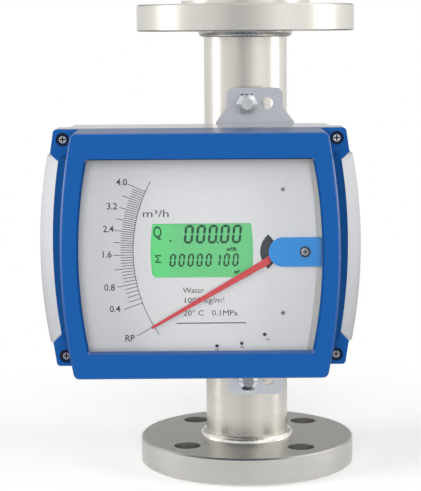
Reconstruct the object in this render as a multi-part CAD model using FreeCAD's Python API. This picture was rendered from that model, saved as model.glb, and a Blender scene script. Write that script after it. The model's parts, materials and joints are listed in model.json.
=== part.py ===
import FreeCAD, Part
import math
import os

# Metal tube flow meter, 25 mm bore, with a magnetic pointer indicator and a counter display.
# Millimetres. The origin is the centre of the inlet sealing face, +Z runs with the flow,
# and the indicator looks towards -Y.

# ---- pipe side ----
face_to_face = 250.0
flange_dia = 115.0
flange_plate = 14.0
raised_face = 2.0
raised_face_dia = 68.0
bolt_circle = 85.0
bolt_hole_dia = 14.0
bolt_count = 4
bolt_turn = -4.3
port_dia = 28.0
flange_chamfer = 0.8
tube_dia = 44.0
cone_low_dia = 30.0
cone_high_dia = 35.0
guide_seat_dia = 37.0
guide_height = 8.0
weld_leg = 3.2

# ---- float and its guides ----
guide_rod_dia = 5.0
guide_hub_dia = 11.0
guide_ring_wall = 1.8
guide_spoke = 1.8
guide_spokes = 3
float_rest_z = 82.0
float_lift = 44.0
float_tip_dia = 13.0
float_dia = 24.0
float_edge_dia = 28.6
float_nose = 13.0
float_barrel = 27.0
float_head = 6.0
float_edge = 2.0
float_wall = 2.0
magnet_height = 14.0
sleeve_wall = 1.6

# ---- mounting plate between pipe and housing, whose tabs reach past the housing's half height ----
boss_length = 6.0
boss_reach = tube_dia / 2 + boss_length
boss_dia = 14.0
plate_thick = 2.0
plate_x = 4.1
plate_z = 124.5
half_height = 59.1
plate_half_width = 20.2
tab_half_width = 14.5
bolt_clear = 13.4
bolt_offset_z = half_height + bolt_clear
bolt_edge = 8.1
tab_reach = bolt_offset_z + bolt_edge
tab_length = 17.6
plate_half_height = tab_reach - tab_length
tab_flare = 7.5
tab_corner = 4.0
spare_hole_x = 10.4
spare_hole_dia = 6.2
bolt_thread_dia = 6.0
bolt_head_flats = 10.0
bolt_head_height = 4.0
bolt_crown_flat = 0.3
bolt_crown_edge = 0.72
bolt_crown_foot = 0.4
bolt_pilot = 1.7
spring_washer = 1.2
spring_washer_dia = 10.6
spring_washer_gap = 0.8
plate_screw_dia = 4.0
plate_screw_head = 7.2
plate_screw_height = 2.2
plate_screw_slot = 1.0
plate_screw_x = 13.0
plate_screw_z = 40.0
plate_screw_depth = 7.0
plate_boss_dia = 10.0
plate_boss_height = 5.5

# ---- housing ----
housing_x = -24.4
housing_lift = 3.2
housing_z = plate_z + housing_lift
rear_depth = 36.0
cover_depth = 41.0
joint_half_width = 73.8
joint_sweep = 275.0
front_taper = 7.0
front_half_width = joint_half_width - front_taper
front_sweep = 300.0
bulge_out = 7.9
bulge_half_width = joint_half_width + bulge_out
bulge_sweep = 262.0
bulge_back_out = 3.5
bulge_back_half_width = joint_half_width + bulge_back_out
bulge_inset = 7.6
bulge_drop = 2.8
bulge_half_height = half_height - bulge_inset
bulge_from_joint = 16.0
bulge_corner = 4.0
bulge_shoulder = 1.6
back_taper = 3.8
back_half_width = joint_half_width - back_taper
back_edge_round = 3.0
cover_corner = 3.0
cover_side_round = 1.2
cover_rim_round = 0.7
rear_wall = 3.5
joint_wall = 5.0
cover_wall = 3.4
front_wall = 4.0
notch_inset = 18.8
notch_low = half_height - notch_inset
notch_rise = 4.5
notch_high = notch_low + notch_rise
notch_shoulder = 14.3
notch_half_width = joint_half_width - notch_shoulder

# ---- cover ears and their screws ----
ear_thick = 7.0
ear_back = 13.0
ear_top_inset = 1.8
ear_top_half_width = joint_half_width - ear_top_inset
ear_low_half_width = joint_half_width
ear_height = 11.8
ear_low = half_height - ear_height
ear_foot_drop = 3.5
ear_foot = ear_low - ear_foot_drop
ear_root = 4.0
ear_foot_inset = 3.5
ear_foot_half_width = ear_low_half_width - ear_foot_inset
ear_corner = 1.8
pocket_edge = 1.0
pocket_low = ear_low - pocket_edge
cover_screw_edge = 4.5
cover_screw_u = ear_top_half_width - cover_screw_edge
cover_screw_top = 5.0
cover_screw_w = half_height - cover_screw_top
cover_screw_dia = 3.0
cover_screw_head = 4.8
cover_screw_head_height = 1.9
cover_screw_length = 12.0
counterbore_dia = 6.8
counterbore_depth = 2.2

# ---- window ----
window_frame = 7.6
window_half_width = front_half_width - window_frame
window_sweep = 235.0
window_rail = 12.15
window_half_height = half_height - window_rail
window_round = 1.2
window_draft = 0.8
glass_thick = 3.0
glass_rebate = 3.4
glass_half_width = window_half_width + glass_rebate
glass_sill = 3.3
glass_half_height = window_half_height + glass_sill
window_gasket = 0.8
retainer_thick = 1.5
retainer_lip = 0.8
retainer_screw_u = 45.0
retainer_screw_clear = 3.0
retainer_screw_w = glass_half_height + retainer_screw_clear
retainer_screw_dia = 2.5
retainer_screw_head = 4.4
retainer_screw_height = 1.5
retainer_screw_length = 5.0
gasket_width = 2.0
gasket_depth = 1.6
gasket_edge = 1.2

# ---- dial, display and board ----
dial_setback = 19.0
dial_thick = 1.0
dial_half_width = window_half_width
dial_shift = -2.5
dial_sweep = 240.0
dial_overlap = 4.5
dial_half_height = window_half_height + dial_overlap
dial_corner = 3.0
strip_lap = 2.5
strip_reach = 3.7
strip_thick = 0.8
strip_end_inset = 2.0
pivot_inset = 18.9
pivot_u = dial_half_width - pivot_inset
display_clear = 15.3
display_half_width = pivot_u - display_clear
display_shift = 0.7
display_sweep = 97.0
display_top = 13.9
display_bottom = -12.6
display_clip = 1.6
lcd_thick = 1.8
lcd_margin = 2.2
lcd_frame_wall = 1.2
backlight_thick = 4.2
board_thick = 1.6
board_left_inset = 10.9
board_left = board_left_inset - dial_half_width
board_right_inset = 24.9
board_right = dial_half_width - board_right_inset
board_top_inset = 19.2
board_top = dial_half_height - board_top_inset
board_foot_inset = 0.7
board_bottom = board_foot_inset - dial_half_height
board_post_dia = 5.0
board_post_inset = 5.0
terminal_width = 30.0
terminal_height = 10.0
terminal_depth = 9.0
terminal_from_side = 24.0
terminal_u = board_left + terminal_from_side
terminal_from_foot = 12.5
terminal_w = board_bottom + terminal_from_foot
terminal_ways = 6
terminal_mouth = 0.64
terminal_floor = 0.3
terminal_ceiling = 0.8
dial_screw_inset = 19.1
dial_screw_u = dial_half_width - dial_screw_inset
dial_screw_w = 30.3
dial_screw_dia = 1.6
dial_screw_head = 2.1
dial_screw_height = 0.7
dial_screw_length = 6.0
dial_post_dia = 5.0
dial_stud_inset = 6.4
dial_stud_u = dial_stud_inset - dial_half_width
chassis_thick = 2.0
chassis_clear = 4.0
chassis_half_width = notch_half_width - chassis_clear
chassis_shortfall = 5.2
chassis_half_height = dial_half_height - chassis_shortfall
chassis_corner = 6.0
chassis_post_dia = 7.0
chassis_post_inset = 6.0
chassis_post_u = chassis_half_width - chassis_post_inset
left_post_inset = 8.0
left_post_w = chassis_half_height - left_post_inset
right_post_w = 28.0
stud_from_post = 7.7
dial_stud_w = left_post_w - stud_from_post
chassis_screw_dia = 3.0
chassis_screw_head = 5.5
chassis_screw_height = 1.8
chassis_screw_length = 10.0

# ---- pointer movement ----
pivot_w = -0.2
pointer_rest_angle = -29.9
pointer_swing = 58.0
pointer_tip_inset = 25.2
pointer_reach = pivot_u + dial_half_width - pointer_tip_inset
pointer_root_width = 3.4
pointer_tip_width = 1.2
pointer_arm_width = 0.9
pointer_sheet = 0.6
pointer_lift = 1.2
blade_start = 8.3
slot_inner = 6.6
slot_outer = 11.2
slot_half_angle = 49.8
riser_radius = 9.2
riser_thick = 1.2
hub_plate = 0.8
hub_plate_dia = 7.0
hub_gap = 0.8
hub_dia = 6.0
hub_height = 2.8
tail_reach = 5.0
balance_dia = 3.2
balance_height = 2.0
shaft_dia = 2.0
bridge_thick = 2.0
bridge_half_height = 7.1
bridge_end_inset = 0.3
bridge_end_u = dial_half_width - bridge_end_inset
bridge_screw_edge = 7.9
bridge_screw_u = bridge_end_u - bridge_screw_edge
bridge_bore_depth = 1.4
bridge_screw_dia = 2.5
bridge_screw_head = 4.2
bridge_screw_height = 1.2
bridge_sink_dia = 5.7
bearing_dia = 6.0
bearing_collar_dia = 8.0
bearing_collar = 1.0
bracket_reach = 24.0
bracket_sheet = 1.5
bracket_half_height = 16.0
bracket_half_width = 6.0
bracket_foot = 8.0
disc_dia = 22.0
disc_thick = 1.0
disc_from_chassis = 12.0
brake_gap = 0.7
brake_reach = 9.0
brake_width = 8.0
brake_height = 12.0
brake_pole = 4.0
arm_gap = 1.6
arm_thick = 1.6
arm_width = 5.0
arm_reach = 15.0
follower_dia = 7.0
follower_thick = 2.4

# ---- keys ----
key_insets = [(32.5, 4.8), (20.4, 6.0), (9.1, 10.4)]
key_dia = 1.5
key_hole_clear = 0.12
key_proud = 0.5
key_collar_dia = 2.8
key_collar = 0.8
key_collar_gap = 0.1
key_travel = 0.4
switch_size = 5.0
switch_height = 2.0

# ---- cable entry ----
entry_inset = 24.0
entry_u = entry_inset - back_half_width
entry_w = 22.0
entry_thread_dia = 20.0
entry_thread_length = 8.0
gland_flats = 24.0
gland_hex = 6.0
gland_neck = 4.0
gland_nut_length = 13.0
gland_dome_height = 0.45
gland_dome_shoulder = 0.42
gland_dome_top = 0.36
gland_nut_flats = 22.0
gland_nut_wall = 3.0
gland_seal_length = 8.0
gland_seal_dia = 14.0
cable_bore_dia = 8.0
plug_head = 5.0

# ---- pan head screws, as shares of the head ----
pan_flat = 0.37
pan_crown = 0.47
pan_cross = 0.66
pan_cross_depth = 0.6

# ---- clearances ----
slip = 0.05
screw_clear = 0.3
running = 0.05
air = 0.4

# ---- planes and places that the sizes above give ----
key_places = [(pivot_u - across, rise - dial_half_height) for across, rise in key_insets]
flange_height = flange_plate + raised_face
tube_low = flange_height
tube_high = face_to_face - flange_height
plate_front_y = -(boss_reach + plate_thick)
back_y = plate_front_y
joint_y = back_y - rear_depth
front_y = joint_y - cover_depth
ear_y = joint_y - ear_thick
ear_back_y = joint_y + ear_back
bulge_y = joint_y + bulge_from_joint
floor_y = back_y - rear_wall
window_back_y = front_y + front_wall
glass_front_y = window_back_y + window_gasket
glass_back_y = glass_front_y + glass_thick
dial_y = front_y + dial_setback
dial_back_y = dial_y + dial_thick
lcd_back_y = dial_back_y + lcd_thick
board_front_y = lcd_back_y + backlight_thick
board_back_y = board_front_y + board_thick
chassis_front_y = joint_y
chassis_back_y = chassis_front_y + chassis_thick
bracket_back_y = chassis_back_y + bracket_reach
arm_front_y = bracket_back_y + arm_gap
pivot_x = housing_x + pivot_u
pivot_z = housing_z + pivot_w
float_height = float_nose + float_barrel + float_head
float_top_z = float_rest_z + float_height


def vec(x, y, z):
    return FreeCAD.Vector(x, y, z)


def face_point(u, w, y):
    """A point given across (u) and up (w) from the housing's middle."""
    return vec(housing_x + u, y, housing_z + w)


def block(low, high):
    size = high - low
    return Part.makeBox(size.x, size.y, size.z, low)


def rod_z(dia, z_from, z_to):
    return Part.makeCylinder(dia / 2, z_to - z_from, vec(0, 0, z_from), vec(0, 0, 1))


def rod_y(dia, y_from, y_to, x, z):
    return Part.makeCylinder(dia / 2, y_to - y_from, vec(x, y_from, z), vec(0, 1, 0))


def face_rod(dia, y_from, y_to, u, w):
    return rod_y(dia, y_from, y_to, housing_x + u, housing_z + w)


def face_block(u_from, u_to, w_from, w_to, y_from, y_to):
    return block(face_point(u_from, w_from, y_from), face_point(u_to, w_to, y_to))


def turned(profile):
    """A solid turned about the pipe's axis from (radius, z) points."""
    points = [vec(radius, 0, z) for radius, z in profile]
    outline = Part.makePolygon(points + points[:1])
    return Part.Face(outline).revolve(vec(0, 0, 0), vec(0, 0, 1), 360)


def turned_y(profile, x, z):
    """A solid turned about a line along Y through (x, z), from (radius, y) points."""
    points = [vec(x + radius, y, z) for radius, y in profile]
    outline = Part.makePolygon(points + points[:1])
    return Part.Face(outline).revolve(vec(x, 0, z), vec(0, 1, 0), 360)


def sheet_y(points, y_from, y_to):
    """A plate cut to (x, z) points, lying across Y."""
    corners = [vec(x, y_from, z) for x, z in points]
    outline = Part.makePolygon(corners + corners[:1])
    return Part.Face(outline).extrude(vec(0, y_to - y_from, 0))


def hexagon(flats, y_from, y_to, x, z):
    radius = flats / math.sqrt(3)
    angles = [math.radians(60 * side) for side in range(6)]
    return sheet_y([(x + radius * math.cos(a), z + radius * math.sin(a)) for a in angles], y_from, y_to)


def group(solids):
    return Part.makeCompound(solids)


def polar(angle, radius):
    """Across and up from the pivot, at an angle above the line that points left."""
    turn = math.radians(angle)
    return pivot_x - radius * math.cos(turn), pivot_z + radius * math.sin(turn)


def turn_about_pivot(shape, angle):
    """Turn a pointer piece, drawn pointing left, up by an angle."""
    turned_shape = shape.copy()
    turned_shape.rotate(vec(pivot_x, 0, pivot_z), vec(0, 1, 0), angle)
    return turned_shape


# ---- outlines across the housing ----
def side_at(middle, sweep, w):
    """Half width at height w of a side that bows out to middle."""
    return middle - (sweep - math.sqrt(sweep ** 2 - w ** 2))


def side_arc(middle, sweep, w, y, hand):
    edge = side_at(middle, sweep, w)
    ends = [face_point(hand * edge, hand * w, y), face_point(hand * edge, -hand * w, y)]
    return Part.Arc(ends[0], face_point(hand * middle, 0, y), ends[1]).toShape()


def barrel(middle, sweep, top, y):
    """Straight top and bottom, bowed sides."""
    edge = side_at(middle, sweep, top)
    return Part.Wire([
        Part.makeLine(face_point(-edge, top, y), face_point(edge, top, y)),
        side_arc(middle, sweep, top, y, 1),
        Part.makeLine(face_point(edge, -top, y), face_point(-edge, -top, y)),
        side_arc(middle, sweep, top, y, -1),
    ])


def notched(middle, sweep, corner, top, y):
    """Bowed sides with the corners stepped in, where the cover screws pass outside."""
    edge = side_at(middle, sweep, notch_low)
    step = [(edge, notch_low), (corner, notch_high), (corner, top)]
    right = [face_point(u, -w, y) for u, w in step]
    left = [face_point(-u, -w, y) for u, w in reversed(step)]
    upper_left = [face_point(-u, w, y) for u, w in step]
    upper_right = [face_point(u, w, y) for u, w in reversed(step)]
    lower = Part.makePolygon(right + left)
    upper = Part.makePolygon(upper_left + upper_right)
    arcs = [side_arc(middle, sweep, notch_low, y, 1), side_arc(middle, sweep, notch_low, y, -1)]
    return Part.Wire(Part.__sortEdges__(lower.Edges + upper.Edges + arcs))


def prism(outline, y_to):
    y_from = outline.BoundBox.YMin
    return Part.Face(outline).extrude(vec(0, y_to - y_from, 0))


def loft(*outlines):
    return Part.makeLoft(list(outlines), True, True)


def round_edges(shape, radius, wanted):
    return shape.makeFillet(radius, [edge for edge in shape.Edges if wanted(edge)])


def runs_along_y(edge):
    box = edge.BoundBox
    return box.YLength > 0.5 and box.XLength < 0.01 and box.ZLength < 0.01


def in_plane(edge, y):
    box = edge.BoundBox
    return box.YLength < 0.01 and abs(box.YMin - y) < 0.01


# ---- pipe side ----
def flange_blank(hand):
    """A flange standing on its sealing face; hand is -1 for the one that is turned over."""
    outer = flange_dia / 2
    face = raised_face_dia / 2
    port = port_dia / 2
    cut = flange_chamfer
    blank = turned([
        (port, 0), (face, 0), (face, raised_face), (outer - cut, raised_face),
        (outer, raised_face + cut), (outer, flange_height - cut), (outer - cut, flange_height),
        (port, flange_height),
    ])
    for index in range(bolt_count):
        turn = math.radians(360 / bolt_count * (index + 0.5) + hand * bolt_turn)
        centre = vec(bolt_circle / 2 * math.cos(turn), bolt_circle / 2 * math.sin(turn), 0)
        blank = blank.cut(Part.makeCylinder(bolt_hole_dia / 2, flange_height, centre))
    return blank


def inlet_flange():
    return flange_blank(1)


def outlet_flange():
    flange = flange_blank(-1)
    flange.rotate(vec(0, 0, face_to_face / 2), vec(1, 0, 0), 180)
    return flange


def measuring_tube():
    """Turned tube whose conical bore opens in the direction of flow."""
    seat_low = tube_low + guide_height
    seat_high = tube_high - guide_height
    tube = turned([
        (guide_seat_dia / 2, tube_low), (tube_dia / 2, tube_low), (tube_dia / 2, tube_high),
        (guide_seat_dia / 2, tube_high), (guide_seat_dia / 2, seat_high), (cone_high_dia / 2, seat_high),
        (cone_low_dia / 2, seat_low), (guide_seat_dia / 2, seat_low),
    ])
    for hand in (1, -1):
        tube = tube.cut(bolt_hole(hand))
    return tube


def bolt_hole(hand):
    end_y = plate_front_y + plate_thick + boss_reach - tube_dia / 2 + bolt_pilot
    return rod_y(bolt_thread_dia + 2 * slip, back_y, end_y, 0, plate_z + hand * bolt_offset_z)


def weld(z_root, direction):
    """A convex fillet weld between the tube and a flange's back."""
    inner = tube_dia / 2
    corner = vec(inner, 0, z_root)
    toe = vec(inner + weld_leg, 0, z_root)
    crown = vec(inner, 0, z_root + direction * weld_leg)
    swell = vec(inner + weld_leg * 0.58, 0, z_root + direction * weld_leg * 0.58)
    outline = Part.Wire([
        Part.makeLine(corner, toe), Part.Arc(toe, swell, crown).toShape(), Part.makeLine(crown, corner),
    ])
    return Part.Face(outline).revolve(vec(0, 0, 0), vec(0, 0, 1), 360)


def guide(z_from):
    """A spoked ring whose hub holds the guide rod."""
    outer = guide_seat_dia / 2 - slip
    z_to = z_from + guide_height
    ring = rod_z(2 * outer, z_from, z_to).cut(rod_z(2 * (outer - guide_ring_wall), z_from, z_to))
    star = rod_z(guide_hub_dia, z_from, z_to)
    for index in range(guide_spokes):
        reach = outer - guide_ring_wall / 2
        spoke = block(vec(0, -guide_spoke / 2, z_from), vec(reach, guide_spoke / 2, z_to))
        spoke.rotate(vec(0, 0, 0), vec(0, 0, 1), 90 + 360 / guide_spokes * index)
        star = star.fuse(spoke)
    whole = ring.fuse(star).removeSplitter()
    return whole.cut(rod_z(guide_rod_dia + 2 * slip, z_from, z_to))


def guide_rod():
    return rod_z(guide_rod_dia, tube_low, tube_high)


def rod_sleeve(z_from, z_to):
    inner = guide_rod_dia + 2 * slip
    return rod_z(inner + 2 * sleeve_wall, z_from, z_to).cut(rod_z(inner, z_from, z_to))


def float_body():
    """Pointed cup that slides on the rod and holds the magnet."""
    bore = guide_rod_dia / 2 + running
    core = bore + float_wall
    outer = float_dia / 2
    base = float_rest_z + float_nose
    rim = base + float_barrel
    return turned([
        (bore, float_rest_z), (float_tip_dia / 2, float_rest_z), (outer, base), (outer, rim),
        (outer - float_wall, rim), (outer - float_wall, base + float_wall), (core, base + float_wall),
        (core, rim), (bore, rim),
    ])


def magnet_band():
    """Inner and outer radius, and lower and upper height, of the float's magnet."""
    low = float_rest_z + float_nose + float_wall
    inner = guide_rod_dia / 2 + running + float_wall + slip
    return inner, float_dia / 2 - float_wall - slip, low, low + magnet_height


def float_magnet():
    inner, outer, low, high = magnet_band()
    return rod_z(2 * outer, low, high).cut(rod_z(2 * inner, low, high))


def float_head_disc():
    """Metering head: its spigot holds the magnet down and its rim is the sharp metering edge."""
    inner, outer, _, magnet_top = magnet_band()
    bore = guide_rod_dia / 2 + running
    rim = float_top_z - float_head
    return turned([
        (bore, rim), (inner, rim), (inner, magnet_top), (outer, magnet_top), (outer, rim),
        (float_dia / 2, rim), (float_edge_dia / 2, float_top_z - float_edge),
        (float_edge_dia / 2, float_top_z), (bore, float_top_z),
    ])


# ---- mounting ----
def tube_boss(hand):
    """A round boss welded to the front of the tube."""
    z = plate_z + hand * bolt_offset_z
    boss = rod_y(boss_dia, -boss_reach, 0, 0, z)
    boss = boss.cut(rod_z(tube_dia, tube_low, tube_high))
    return boss.cut(bolt_hole(hand))


def tab_outline():
    """Plate outline, right half from the bottom up, then mirrored."""
    edge = tab_reach
    shoulder = plate_half_height + tab_flare
    right = [
        (tab_half_width, -edge), (tab_half_width, -shoulder), (plate_half_width, -plate_half_height),
        (plate_half_width, plate_half_height), (tab_half_width, shoulder), (tab_half_width, edge),
    ]
    left = [(-x, z) for x, z in reversed(right)]
    return [(plate_x + x, plate_z + z) for x, z in right + left]


def mounting_plate():
    plate = sheet_y(tab_outline(), plate_front_y, plate_front_y + plate_thick)

    def tab_corner_edge(edge):
        at_end = abs(abs(edge.CenterOfMass.z - plate_z) - tab_reach) < 0.01
        return runs_along_y(edge) and at_end

    plate = round_edges(plate, tab_corner, tab_corner_edge)
    for hand in (1, -1):
        z = plate_z + hand * bolt_offset_z
        plate = plate.cut(rod_y(spare_hole_dia, plate_front_y, 0, 0, z))
        plate = plate.cut(rod_y(spare_hole_dia, plate_front_y, 0, spare_hole_x, z))
    for x, z in plate_screw_places():
        plate = plate.cut(rod_y(plate_screw_dia + 4 * slip, plate_front_y, 0, x, z))
    return plate


def plate_screw_places():
    return [
        (plate_x + hand * plate_screw_x, plate_z + up * plate_screw_z)
        for hand in (1, -1) for up in (1, -1)
    ]


def mounting_bolts():
    """Two hexagon bolts through the plate's tabs into the bosses."""
    bolts = []
    for hand in (1, -1):
        z = plate_z + hand * bolt_offset_z
        seat = plate_front_y - spring_washer
        head = hexagon(bolt_head_flats, seat - bolt_head_height, seat, 0, z)
        across = bolt_head_flats / math.sqrt(3)
        dome = turned_y([
            (0, seat - bolt_head_height),
            (bolt_head_flats * bolt_crown_flat, seat - bolt_head_height),
            (bolt_head_flats / 2, seat - bolt_head_height * bolt_crown_edge),
            (across + 1, seat - bolt_head_height * bolt_crown_foot),
            (across + 1, seat), (0, seat),
        ], 0, z)
        shank = rod_y(bolt_thread_dia, seat - slip, -tube_dia / 2 + slip, 0, z)
        bolts.append(head.common(dome).fuse(shank).removeSplitter())
    return group(bolts)


def spring_washers():
    """Split washers under the bolt heads."""
    rings = []
    for hand in (1, -1):
        z = plate_z + hand * bolt_offset_z
        low = plate_front_y - spring_washer
        ring = rod_y(spring_washer_dia, low, plate_front_y, 0, z)
        ring = ring.cut(rod_y(bolt_thread_dia + 4 * slip, low, plate_front_y, 0, z))
        half_gap = spring_washer_gap / 2
        split = block(vec(0, low, z - half_gap), vec(spring_washer_dia, plate_front_y, z + half_gap))
        rings.append(ring.cut(split))
    return group(rings)


def plate_screws():
    """Pan head screws through the mounting plate into the housing's back."""
    screws = []
    seat = plate_front_y + plate_thick
    for x, z in plate_screw_places():
        head = rod_y(plate_screw_head, seat, seat + plate_screw_height, x, z)
        shank = rod_y(plate_screw_dia, seat - plate_screw_depth, seat, x, z)
        half_slot = plate_screw_slot / 2
        slot = block(vec(x - plate_screw_head, seat + plate_screw_height / 2, z - half_slot),
                     vec(x + plate_screw_head, seat + plate_screw_height, z + half_slot))
        screws.append(head.cut(slot).fuse(shank))
    return group(screws)


# ---- housing ----
def ear_outline(right, up):
    points = [
        (notch_half_width - ear_root, half_height), (ear_top_half_width, half_height),
        (ear_low_half_width, ear_low), (ear_foot_half_width, ear_foot),
        (notch_half_width - ear_root, ear_foot),
    ]
    return [(housing_x + right * u, housing_z + up * w) for u, w in points]


def ears(y_from, y_to):
    """Four corner ears that carry the cover screws."""
    made = []
    for right in (1, -1):
        for up in (1, -1):
            ear = sheet_y(ear_outline(right, up), y_from, y_to)
            corner_x = housing_x + right * ear_top_half_width

            def outer_corner(edge):
                return runs_along_y(edge) and abs(edge.CenterOfMass.x - corner_x) < 0.01

            made.append(round_edges(ear, ear_corner, outer_corner))
    return made


def corners():
    return [(right, up) for right in (1, -1) for up in (1, -1)]


def front_rim(edge):
    return in_plane(edge, front_y)


def front_side(edge):
    return in_plane(edge, front_y) and edge.BoundBox.ZLength > pocket_low


def cover_outside():
    """Drafted sides, but at the corners the front outline runs straight back to the ears."""
    straight = prism(barrel(front_half_width, front_sweep, half_height, front_y), joint_y)
    straight = round_edges(straight, cover_corner, runs_along_y)
    straight = round_edges(straight, cover_rim_round, front_rim)
    drafted = loft(
        barrel(front_half_width, front_sweep, half_height, front_y),
        barrel(joint_half_width, joint_sweep, half_height, joint_y),
    )
    drafted = round_edges(drafted, cover_side_round, front_side)
    reach = joint_half_width + 1
    middle = face_block(-reach, reach, -pocket_low, pocket_low, front_y - 1, ear_y)
    behind = face_block(-reach, reach, -half_height - 1, half_height + 1, ear_y, joint_y)
    whole = straight.cut(middle).fuse(drafted.common(middle.fuse(behind)))
    for ear in ears(ear_y, joint_y):
        whole = whole.fuse(ear)
    return whole.removeSplitter()


def cover_cavity():
    return loft(
        notched(front_half_width - cover_wall, front_sweep, notch_half_width - 1,
                half_height - cover_wall, glass_back_y),
        notched(joint_half_width - joint_wall, joint_sweep, notch_half_width,
                half_height - joint_wall, joint_y),
    )


def gasket_ring(grow, y_from, y_to):
    """Seal that runs round the joint, inside the cover screws."""
    inner_edge = joint_half_width - joint_wall + gasket_edge - grow
    outer_edge = inner_edge + gasket_width + 2 * grow
    inner_top = half_height - joint_wall + gasket_edge - grow
    inner_corner = notch_half_width + gasket_edge - grow
    outer = notched(outer_edge, joint_sweep, inner_corner + gasket_width + 2 * grow,
                    inner_top + gasket_width + 2 * grow, y_from)
    inner = notched(inner_edge, joint_sweep, inner_corner, inner_top, y_from)
    return prism(outer, y_to).cut(prism(inner, y_to))


def window_outline(grow, y):
    return barrel(window_half_width + grow, window_sweep, window_half_height + grow, y)


def window_opening():
    """The opening narrows a little towards the glass."""
    opening = loft(window_outline(0, front_y), window_outline(-window_draft, window_back_y))

    def corner(edge):
        box = edge.BoundBox
        return box.YLength > front_wall / 2 and box.ZLength < front_wall

    return round_edges(opening, window_round, corner)


def glass_outline(grow, y):
    return barrel(glass_half_width + grow, front_sweep, glass_half_height + grow, y)


def cover_screw_places():
    return [(right * cover_screw_u, up * cover_screw_w) for right, up in corners()]


def retainer_screw_places():
    across = (-retainer_screw_u, 0, retainer_screw_u)
    return [(u, up * retainer_screw_w) for u in across for up in (1, -1)]


def front_cover():
    """Die-cast frame that holds the window."""
    cover = cover_outside()
    cover = cover.cut(cover_cavity())
    cover = cover.cut(prism(glass_outline(air, window_back_y), glass_back_y))
    cover = cover.cut(window_opening())
    cover = cover.cut(gasket_ring(slip, joint_y - gasket_depth, joint_y))
    for u, w in cover_screw_places():
        cover = cover.cut(face_rod(cover_screw_dia + screw_clear, ear_y, joint_y, u, w))
        cover = cover.cut(face_rod(counterbore_dia, ear_y, ear_y + counterbore_depth, u, w))
    for u, w in retainer_screw_places():
        hole_end = glass_back_y - retainer_screw_length
        cover = cover.cut(face_rod(retainer_screw_dia + 2 * slip, hole_end, glass_back_y, u, w))
    return cover


def cover_gasket():
    return gasket_ring(0, joint_y - gasket_depth, joint_y)


def clipped_barrel(middle, sweep, top, clip, y):
    """Bowed sides and clipped corners."""
    shoulder = side_at(middle, sweep, top - clip)
    end = shoulder - clip
    low = top - clip
    return Part.Wire([
        Part.makeLine(face_point(-end, top, y), face_point(end, top, y)),
        Part.makeLine(face_point(end, top, y), face_point(shoulder, low, y)),
        side_arc(middle, sweep, low, y, 1),
        Part.makeLine(face_point(shoulder, -low, y), face_point(end, -top, y)),
        Part.makeLine(face_point(end, -top, y), face_point(-end, -top, y)),
        Part.makeLine(face_point(-end, -top, y), face_point(-shoulder, -low, y)),
        side_arc(middle, sweep, low, y, -1),
        Part.makeLine(face_point(-shoulder, low, y), face_point(-end, top, y)),
    ])


def bulge(shrink, half_tall, y_front, y_back):
    """The part of the housing that stands out past the cover at both sides."""
    front = joint_half_width - shrink
    crest = bulge_half_width - shrink
    back = bulge_back_half_width - shrink
    clip = bulge_corner
    before = (joint_y + bulge_y) / 2
    after = (bulge_y + back_y) / 2
    sections = [
        clipped_barrel(front, joint_sweep, half_tall, clip, y_front),
        clipped_barrel((front + crest) / 2 + bulge_shoulder, bulge_sweep, half_tall, clip, before),
        clipped_barrel(crest, bulge_sweep, half_tall, clip, bulge_y),
        clipped_barrel((crest + back) / 2 + bulge_shoulder / 2, bulge_sweep, half_tall, clip, after),
        clipped_barrel(back, bulge_sweep, half_tall, clip, y_back),
    ]
    return Part.makeLoft(sections, True, False)


def rear_outside():
    wings = bulge(0, bulge_half_height, joint_y, back_y)
    wings.translate(vec(0, 0, -bulge_drop))
    core = loft(
        barrel(joint_half_width, joint_sweep, half_height, joint_y),
        barrel(back_half_width, joint_sweep, half_height, back_y),
    )
    whole = wings.fuse(core)
    for ear in ears(joint_y, ear_back_y):
        whole = whole.fuse(ear)
    return whole.removeSplitter()


def rear_cavity():
    core = loft(
        notched(joint_half_width - joint_wall, joint_sweep, notch_half_width,
                half_height - joint_wall, joint_y),
        notched(back_half_width - joint_wall, joint_sweep, notch_half_width - 2,
                half_height - joint_wall, floor_y),
    )
    wings = bulge(joint_wall, notch_low - 1, joint_y + joint_wall, floor_y)
    return core.fuse(wings)


def entry_places():
    """Where the cable gland and the blanking plug go through the back, as (x, z)."""
    x = housing_x + entry_u
    return (x, housing_z - entry_w), (x, housing_z + entry_w)


def rear_housing():
    """Die-cast case behind the cover."""
    case = rear_outside()

    def back_rim(edge):
        return in_plane(edge, back_y)

    case = round_edges(case, back_edge_round, back_rim)
    case = case.cut(rear_cavity())
    for x, z in plate_screw_places():
        case = case.fuse(rod_y(plate_boss_dia, floor_y - plate_boss_height, floor_y, x, z))
        hole_end = back_y + plate_thick - plate_screw_depth - 1
        case = case.cut(rod_y(plate_screw_dia + 2 * slip, hole_end, back_y, x, z))
    for x, z in entry_places():
        case = case.cut(rod_y(entry_thread_dia + 2 * slip, floor_y, back_y, x, z))
    for u, w in cover_screw_places():
        hole_end = ear_y + counterbore_depth + cover_screw_length + 1
        case = case.cut(face_rod(cover_screw_dia + 2 * slip, joint_y, hole_end, u, w))
    return case.removeSplitter()


def cross_cut(size, y_from, y_to, x, z):
    """A cross recess for a screwdriver."""
    half = size / 2
    arm = size / 8
    wide = block(vec(x - half, y_from, z - arm), vec(x + half, y_to, z + arm))
    tall = block(vec(x - arm, y_from, z - half), vec(x + arm, y_to, z + half))
    return wide.fuse(tall)


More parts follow.
